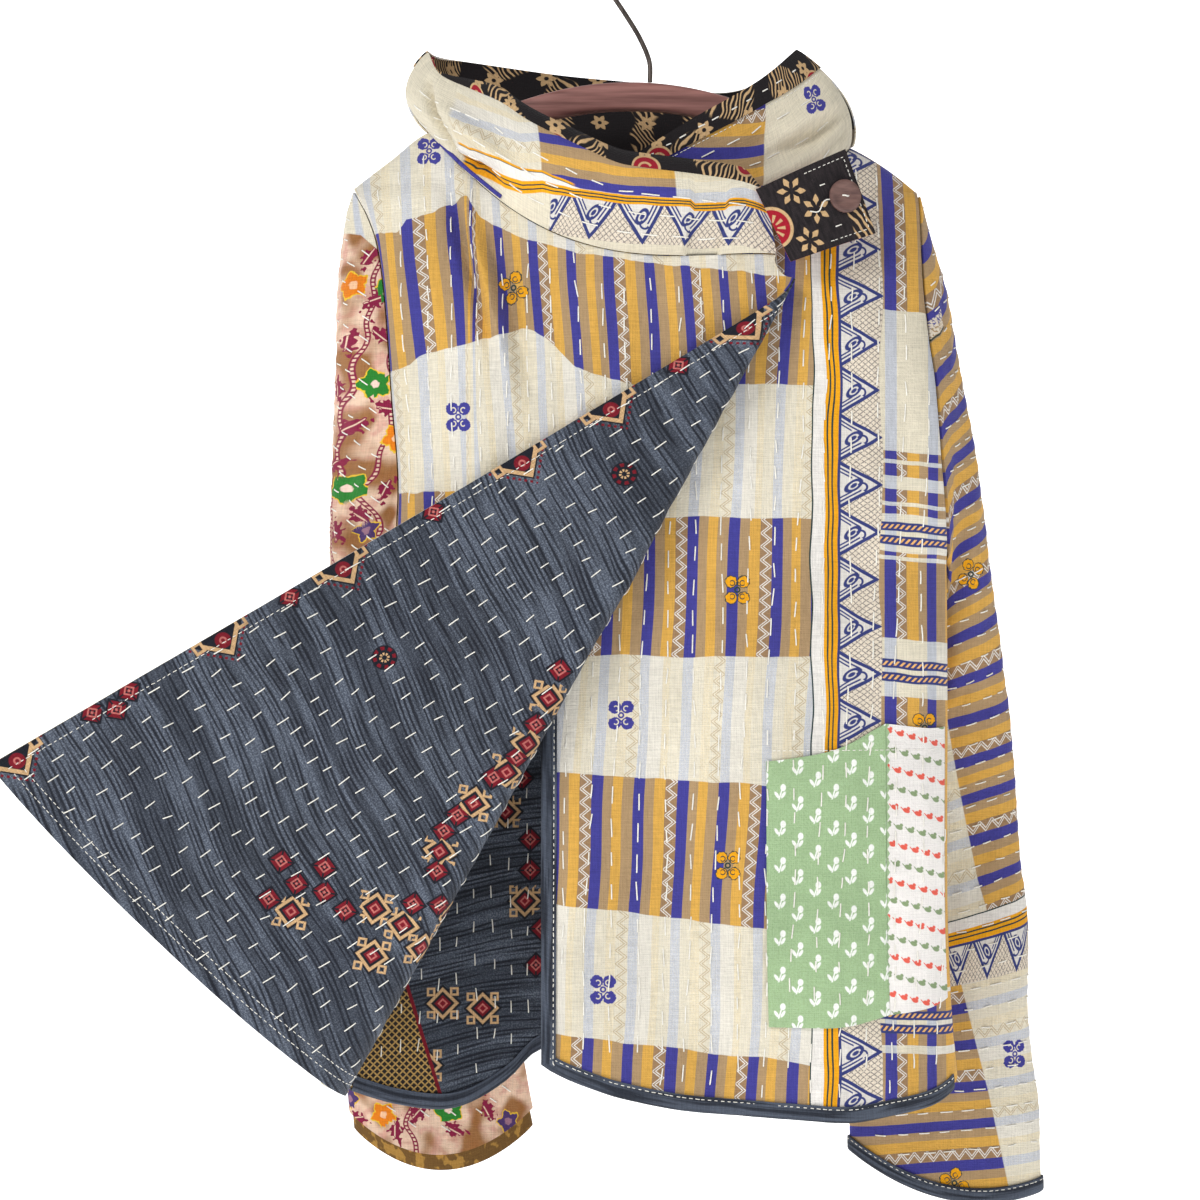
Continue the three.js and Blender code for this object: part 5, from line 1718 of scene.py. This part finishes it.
back_mid, back_normal = on_surface(back_grid, -1, False, back_lift)
low = np.arange(7, 92)
back_strip = strip(
    "back_hem_binding", back_mid[low, 0], back_mid[low, 1] - back_mid[low, 0], back_normal[low, 0],
    HALF_DOUBLE, False,
    "back_hem_binding",
)
right_mid, right_normal = on_surface(right_grid, -1, True, right_lift)
cuff_strip = strip(
    "right_cuff_binding", right_mid[:, -1], right_mid[:, -2] - right_mid[:, -1], right_normal[:, -1],
    QUILT / 2 + GAP, True,
    "sleeve_right_binding",
)

# %% [markdown]
# The hanger is a bent wooden bar with rounded edges, and a wire hook that rises from its middle and
# turns over in an open arc.

# %% Hanger
def loft(name, rings):
    rings = np.asarray(rings)
    count, sides = rings.shape[:2]
    first = list(range(sides))
    caps = [first[::-1], [k + (count - 1) * sides for k in first]]
    return mesh_piece(name, rings.reshape(-1, 3), tube_faces(count, sides).tolist() + caps, None)


bar_x = np.linspace(-168, 168, 100)
bar_z = -106.8 - 0.0022 * bar_x**2 - 10
bar_taper = 1 - 0.35 * np.abs(bar_x / 168) ** 3
bar_a = circle(36)
bar_c = np.sign(np.cos(bar_a)) * np.abs(np.cos(bar_a)) ** 0.6
bar_s = np.sign(np.sin(bar_a)) * np.abs(np.sin(bar_a)) ** 0.6
bar_rings = np.stack([
    np.broadcast_to(bar_x[:, None] - 13, (100, 36)), 7 * bar_taper[:, None] * bar_c,
    bar_z[:, None] + 10 * bar_taper[:, None] * bar_s,
], -1)
dress(
    loft("hanger_bar", bar_rings[:, ::-1]),
    grained("hanger_wood", shade(112, 68, 62), shade(168, 116, 108), (14, 200, 240), 0.5), "hanger_bar",
)
hook_turn = np.radians(np.linspace(205, -35, 60))
hook_rise = curve([(1, -106.6), (0.5, -92), (-6, -76), (-15, -61), (-25, -46)])(np.linspace(0, 1, 30))
hook_line = np.concatenate([hook_rise, np.stack([30 * np.cos(hook_turn), 30 * np.sin(hook_turn) - 28.3], -1)])
hook_line = np.stack([hook_line[:, 0], 0 * hook_line[:, 0], hook_line[:, 1]], -1)
hook_up = np.cross(unit(np.gradient(hook_line, axis=0)), [0, 1, 0])
hook_rings = rings_about(hook_line, np.array([[0, 1, 0]]), hook_up, 1.7, 16)
dress(
    loft("hanger_hook", hook_rings),
    grained("dull_wire", shade(70, 62, 58), shade(112, 102, 96), (300, 300, 60), 0.4, 0.85),
    "hanger_hook",
)

# %% [markdown]
# The quilting is running stitch in thick white thread. A row is a line over the cloth; along it short
# dashes rise a little from the surface and dive in again. All dashes of a panel are one joined mesh,
# built from arrays, and every row starts at its own place, as hand sewing does.

# %% Running stitch
rng = np.random.default_rng(11)
DASH_STATIONS = np.array([0, 0.16, 0.5, 0.84, 1])
DASH_RISE = np.array([-0.1, 0.32, 0.46, 0.32, -0.1])
DASH_SECTION = np.array([(-0.5, -0.25), (-0.36, 0.75), (0.36, 0.75), (0.5, -0.25)])


def dashes(points, normals, dash, gap, width=0.95, rise=1.0):
    """Stitch points along one line: an array of dashes, stations and section points."""
    run = run_along(points)
    first = rng.uniform(0, dash + gap)
    starts = np.arange(first - dash, run[-1] - 0.6 * dash, dash + gap)
    starts = starts + rng.uniform(-0.12, 0.12, len(starts)) * (dash + gap)
    starts = starts[starts > 0]
    if len(starts) == 0:
        return np.empty((0, len(DASH_STATIONS), len(DASH_SECTION), 3))
    lengths = dash * rng.uniform(0.75, 1.15, len(starts))
    at = np.minimum(starts[:, None] + lengths[:, None] * DASH_STATIONS, run[-1])
    spot = np.stack([np.interp(at, run, points[:, k]) for k in range(3)], -1)
    up = unit(np.stack([np.interp(at, run, normals[:, k]) for k in range(3)], -1))
    side = unit(np.cross(up, np.gradient(spot, axis=1)))
    lean = rng.normal(0, 0.055, len(starts))[:, None, None] * dash * (DASH_STATIONS - 0.5)[None, :, None]
    spot = spot + side * lean + up * (DASH_RISE * rise)[None, :, None]
    across, high = DASH_SECTION.T
    return (spot[:, :, None] + side[:, :, None] * (across * width)[None, None, :, None]
            + up[:, :, None] * (high * width * 0.5)[None, None, :, None])


def sew(name, lines, slot):
    blocks = np.concatenate([line for line in lines if len(line)])
    count, stations, sides = blocks.shape[:3]
    j, k = np.meshgrid(np.arange(stations - 1), np.arange(sides - 1), indexing="ij")
    j, k = j.ravel(), k.ravel()
    quad = np.stack([j * sides + k, (j + 1) * sides + k, (j + 1) * sides + k + 1, j * sides + k + 1], 1)
    faces = (np.arange(count)[:, None, None] * stations * sides + quad[None]).reshape(-1, 4)
    corner = np.stack([faces // sides * 2.4, faces % sides * 1.0], -1)
    piece = mesh_piece(name, blocks.reshape(-1, 3), faces, corner, 80)
    piece.data.materials.append(WHITE_THREAD)
    print(name, "has", count, "stitches")
    return piece


def with_normals(surface, place, step=1.0):
    """Points of a surface over flat places, and the normals on its front."""
    shift = np.array([[step, 0.0], [0.0, step]])
    across = surface(place + shift[0]) - surface(place - shift[0])
    up = surface(place + shift[1]) - surface(place - shift[1])
    return surface(place), unit(np.cross(across, up))


def upright_rows(surface, relief, first, last, pitch, inside, out, dash, gap, face=1, lean=0.0, bottom=-880,
                 top=-110):
    """Rows of stitches that run up and down a panel, kept to the places inside it."""
    lines = []
    for x0 in np.arange(first, last, pitch):
        z = np.arange(bottom, top, 2.0)
        wander = 1.4 * np.sin(z / 61 + x0) + 0.8 * np.sin(z / 23 + 2.3 * x0)
        place = flat(x0 + lean * (z + 500) + wander, z)
        keep = inside(place)
        runs = np.split(np.arange(len(z)), np.where(np.diff(keep.astype(int)) != 0)[0] + 1)
        for part in runs:
            if keep[part[0]] and len(part) > 4:
                points, normal = with_normals(surface, place[part])
                points = points + normal * (face * out + relief(place[part]))[:, None]
                lines.append(dashes(points, normal * face, dash, gap,
                                    0.95 if face * out > 0 and dash > 9 else 0.8))
    return lines


WHITE_THREAD = thread("white_thread", shade(242, 239, 230))
green_box = (green_place[..., 0].min(), white_place[..., 0].max(), green_place[..., 1].min(),
             green_place[..., 1].max())


def in_pocket(place):
    x, z = place[..., 0], place[..., 1]
    return (x > green_box[0]) & (x < green_box[1] - 2) & (z > green_box[2] + 4) & (z < green_box[3] - 4)


def in_under(place):
    x, z = place[..., 0], place[..., 1]
    below = np.where(x < RIGHT_NECK, UNDER_NECK(x), SHOULDER(x)) - 9
    return (x > UNDER_EDGE + 11) & (x < RIGHT_SIDE(z) - 4) & (z > UNDER_HEM(x) + 11) & (z < below)


def in_back(place):
    x, z = place[..., 0], place[..., 1]
    below = np.where((x > LEFT_NECK) & (x < RIGHT_NECK), BACK_NECK(x), SHOULDER(x)) - 9
    return (x > LEFT_SIDE(z) + 5) & (x < RIGHT_SIDE(z) - 5) & (z > BACK_HEM(x) + 12) & (z < below)


def wrap_only(place):
    return wrap_surface(place)[0]


def on_chest(place):
    x, z = place[..., 0], place[..., 1]
    past = wrap_surface(place)[1]
    left = x - LEFT_SIDE(z) > 5
    collar = np.interp(x, wrap_place[-1, ::-1, 0], wrap_place[-1, ::-1, 1]) - 8
    return left & (past < 0) & (z < np.minimum(collar, SHOULDER(x) - 6))


def on_flap(place):
    reach = np.linalg.norm(place - CORNER, axis=-1)
    angle = np.arctan2(-(place[..., 0] - CORNER[0]), -(place[..., 1] - CORNER[1]))
    t = (angle - FREE_EDGE) / (FOLD - FREE_EDGE)
    hem = lerp(FREE_LENGTH, SEAM_LENGTH, t) - HEM_DIP * np.sin(np.pi * t)
    past = wrap_surface(place)[1]
    return (reach > 24) & (reach < hem - 6) & (angle > FREE_EDGE + 0.008) & (past > 0.5)


def chest_relief(place):
    return wrap_relief(place, wrap_surface(place)[1])


def back_lift_at(place):
    return -back_relief(place)


OUT_UNDER, OUT_DOUBLE = QUILT / 2, HALF_DOUBLE
under_rows = upright_rows(front_at, under_relief, -66 + 9, 206, 17.5,
                          lambda p: in_under(p) & ~in_pocket(p), OUT_UNDER, 11.5, 9.5, lean=0.02)
pocket_rows = upright_rows(front_at, under_relief, -66 + 9, 206, 17.5, in_pocket,
                           POCKET_OUT + CLOTH / 2 + 0.3, 9.5, 9.5, lean=0.02)
chest_rows = upright_rows(wrap_only, chest_relief, -230, 96, 17.0, on_chest, OUT_DOUBLE, 11.0, 9.5,
                          lean=-0.03)
flap_rows = upright_rows(wrap_only, chest_relief, -240, 140, 12.0, on_flap, OUT_DOUBLE, 8.6, 17.0, face=-1)
back_rows = upright_rows(back_at, back_lift_at, -215, 206, 17.5, in_back, OUT_DOUBLE, 11.5, 9.5, face=-1)
inside_rows = upright_rows(back_at, back_lift_at, -215, 206, 13.0, in_back, OUT_DOUBLE, 8.6, 17.0)


FROM_ARMHOLE, FROM_CUFF, SHORTEST_ROW = 2, 6, 6


def level_rows(mid, normal, level, pitch, out, dash, gap):
    """Rows of stitches round a sleeve, each along one level of the cloth."""
    lines = []
    rising = np.maximum.accumulate(level, axis=1)
    steps = np.arange(level.shape[1])
    first, last = rising[:, FROM_ARMHOLE], rising[:, -FROM_CUFF]
    for value in np.arange(level.min() + 0.5 * pitch, level.max(), pitch):
        runs = [[]]
        for i in [*range(len(mid)), 0]:
            if first[i] < value < last[i]:
                j = np.interp(value, rising[i], steps)
                a, part = int(j), j - int(j)
                runs[-1].append((lerp(mid[i, a], mid[i, a + 1], part) + normal[i, a] * out, normal[i, a]))
            else:
                runs.append([])
        for run in runs:
            if len(run) >= SHORTEST_ROW:
                lines.append(dashes(*np.swapaxes(run, 0, 1), dash, gap))
    return lines


left_mid, left_normal = on_surface(left_grid, 1, True, left_lift)
left_level = -left_mid[..., 2] - 0.75 * left_mid[..., 0]
left_rows = level_rows(left_mid, left_normal, left_level, 15, QUILT / 2, 7.5, 11)
right_down = (right_mid[..., 0] - 230) * np.interp(right_mid[..., 2], *zip(*RIGHT_LEAN)) - right_mid[..., 2]
right_level = np.interp(right_down, *zip(*RIGHT_RUN))
right_rows = level_rows(right_mid, right_normal, right_level, REPEAT / 4, QUILT / 2, 8, 8)

# %% [markdown]
# The collar has rows along its length. Finer machine stitching runs along the collar's hem, round the
# tab, along the pocket's top and beside the turned-back front edge.

# %% Collar rows and topstitching
collar_rows, fine_rows = [], []
for grid, folds in ((lap_grid, LAP_FOLDS), (stand_grid, []), (lapped_grid, LAPPED_FOLDS)):
    place = band_place(grid)
    lift = band_lift(place, folds)
    points, normal = on_surface(grid, -1, False, lift, CLOTH / 2)
    for j in (9, 19, 29):
        collar_rows.append(dashes(points[3:-3, j], normal[3:-3, j], 11, 9))
    if folds is not LAP_FOLDS:
        edge = points[3:-3, 39] + normal[3:-3, 39] * 1.1
        collar_rows.append(dashes(edge, normal[3:-3, 39], 5, 9))
        fine_rows.append(dashes(points[3:-3, 34], normal[3:-3, 34], 2.2, 1.4, 0.55, 0.5))

tab_points, tab_normal = on_surface(tab_grid, 1, False, tab_lift, CLOTH / 2)
tab_line = [(26, 4), (56, 4), (56, 51), (30, 51)]
for a, b in zip(tab_line, tab_line[1:]):
    t = np.linspace(0, 1, 40)
    i, j = np.round(lerp(a[0], b[0], t)).astype(int), np.round(lerp(a[1], b[1], t)).astype(int)
    fine_rows.append(dashes(tab_points[i, j], tab_normal[i, j], 2.2, 1.4, 0.55, 0.5))
for j in (12, 40):
    collar_rows.append(dashes(tab_points[24:44, j], tab_normal[24:44, j], 5, 12, 0.8))

r = np.arange(30, 634, 2.0)
free_line = np.stack([CORNER[0] + r * math.sin(-FREE_EDGE) - 8 * math.cos(FREE_EDGE),
                      CORNER[1] - r * math.cos(FREE_EDGE) - 8 * math.sin(-FREE_EDGE)], -1)
angles = np.linspace(FREE_EDGE + 0.02, FOLD - 0.02, 200)
inward = np.stack([np.sin(angles), np.cos(angles)], -1)
for place in (free_line, wrap_hem(angles) + 9 * inward, wrap_hem(angles) + 16 * inward):
    points, normal = with_normals(wrap_only, place)
    points = points + normal * (chest_relief(place) - OUT_DOUBLE)[:, None]
    fine_rows.append(dashes(points, -normal, 2.6, 1.6, 0.55, 0.5))
pocket_top = flat(np.linspace(green_box[0] + 3, green_box[1] - 4, 120), np.full(120, green_box[3] - 18.0))
points, normal = with_normals(front_at, pocket_top)
points = points + normal * (under_relief(pocket_top) + POCKET_OUT + CLOTH / 2 + 0.3)[:, None]
fine_rows.append(dashes(points, normal, 2.4, 1.6, 0.55, 0.5))
binding_line = edge_line + edge_normal * (QUILT / 2 + GAP + 1.0) + unit(edge_into) * 7
fine_rows.append(dashes(binding_line, edge_normal, 2.6, 1.8, 0.6, 0.5))
cuff_line = right_mid[:, -1] + right_normal[:, -1] * (QUILT / 2 + 2 * GAP + 1.0)
cuff_line = cuff_line + unit(right_mid[:, -4] - right_mid[:, -1]) * 7
fine_rows.append(dashes(cuff_line, right_normal[:, -1], 2.6, 1.8, 0.6, 0.5))

sewing = [sew(*row) for row in (
    ("under_front_stitches", under_rows, "sari_cloth"),
    ("pocket_stitches", pocket_rows, "green_print"),
    ("wrap_front_stitches", chest_rows, "sari_cloth"),
    ("wrap_lining_stitches", flap_rows, "slate_lining"),
    ("back_stitches", back_rows, "sari_cloth"),
    ("back_lining_stitches", inside_rows, "slate_lining"),
    ("left_sleeve_stitches", left_rows, "floral_cloth"),
    ("right_sleeve_stitches", right_rows, "sari_cloth"),
    ("collar_stitches", collar_rows, "sari_cloth"),
    ("topstitching", fine_rows, "slate_lining"),
)]

# %% [markdown]
# A knot of thread holds the button, and a loose end of it lies on the tab.

# %% Button thread
def cord(name, path, radius, slot="button"):
    line = curve(path)(np.linspace(0, 1, 40))
    ahead = unit(np.gradient(line, axis=0))
    side = unit(np.cross(ahead, button_out))
    piece = loft(name, rings_about(line, side, np.cross(side, ahead), radius, 8))
    layer = piece.data.uv_layers.new(name="cloth")
    layer.data.foreach_set("uv", np.arange(2 * len(piece.data.loops), dtype=np.float32) * 0.31)
    piece.data.materials.append(WHITE_THREAD)
    return piece


def on_button(x, y, h):
    return button_at + x * button_x + y * button_y + h * button_out


def piped_edge():
    piece = cord("piped_edge", PIPING[::4], 1.5, "sari_cloth")
    piece.data.materials.clear()
    piece.data.materials.append(plain_cloth("blue_piping", BLUE, shade(52, 50, 120)))
    return piece


piped_edge()
KNOT = [(-2.2, 0.3, 1.2), (-1, 0.2, 2.4), (1, -0.2, 2.4), (2.2, 0.2, 1.2)]
cord("button_thread", [on_button(*spot) for spot in KNOT], 0.6)
tail_at = [(0.72, 0.52, 1.3), (0.6, 0.56, 1.6), (0.5, 0.46, 1.3), (0.42, 0.5, 1.1)]
tail = cord("thread_tail", [tab_points[int(u * 59), int(v * 55)] + button_out * h for u, v, h in tail_at],
            0.45)

# %% [markdown]
# Each cloth's cut size and flat area are printed.

# %% Sheets
def cut_area(piece):
    """Flat area of a shell's cloth: half its surface, in square metres."""
    return sum(face.area for face in piece.data.polygons) / 2


def declare(piece, width, length, held, on, also=()):
    area = min(max(cut_area(piece), 0.31 * width * length), 0.99 * width * length)
    print(piece.name, "is cut", width, "x", length, "m, area", round(cut_area(piece), 4))


declare(back_piece, 0.5, 0.76, "hung", "hanger_bar", [sewing[4]])
declare(back_lining, 0.5, 0.76, "hung", "hanger_bar", [sewing[5]])
declare(under_piece, 0.36, 0.76, "hung", "hanger_bar", [sewing[0]])
declare(wrap_piece, 0.52, 0.78, "folded", "under_front_panel", [sewing[2]])
declare(wrap_lining, 0.52, 0.78, "folded", "under_front_panel", [sewing[3], sewing[9]])
declare(left_piece, 0.4, 0.7, "hung", "back_panel", [sewing[6]])
declare(right_piece, 0.42, 0.72, "hung", "under_front_panel", [sewing[7]])
declare(cuff_piece, 0.36, 0.1, "hung", "left_sleeve")
declare(green_piece, 0.09, 0.22, "laid", "under_front_panel", [sewing[1]])
declare(white_piece, 0.07, 0.22, "laid", "under_front_panel")
for piece, size in zip(collar_pieces, ((0.34, 0.1), (0.34, 0.09), (0.34, 0.03)) * 3):
    declare(piece, *size, "gathered", "wrap_front_panel",
            [sewing[8]] if piece.name == "collar_lap_band" else ())
declare(tab_piece, 0.07, 0.062, "laid", "collar_lap_band", [tail])
declare(tab_under, 0.07, 0.062, "laid", "collar_lap_band")
declare(under_strip, 0.03, 0.9, "folded", "under_front_panel")
declare(back_strip, 0.03, 0.5, "folded", "back_panel")
declare(cuff_strip, 0.03, 0.34, "folded", "right_sleeve")

# %% [markdown]
# Last, the triangles of all made pieces are counted.

# %% Triangle count
triangles = sum(len(face.vertices) - 2 for piece in made for face in piece.data.polygons)
print("pieces", len(made), "triangles", triangles)
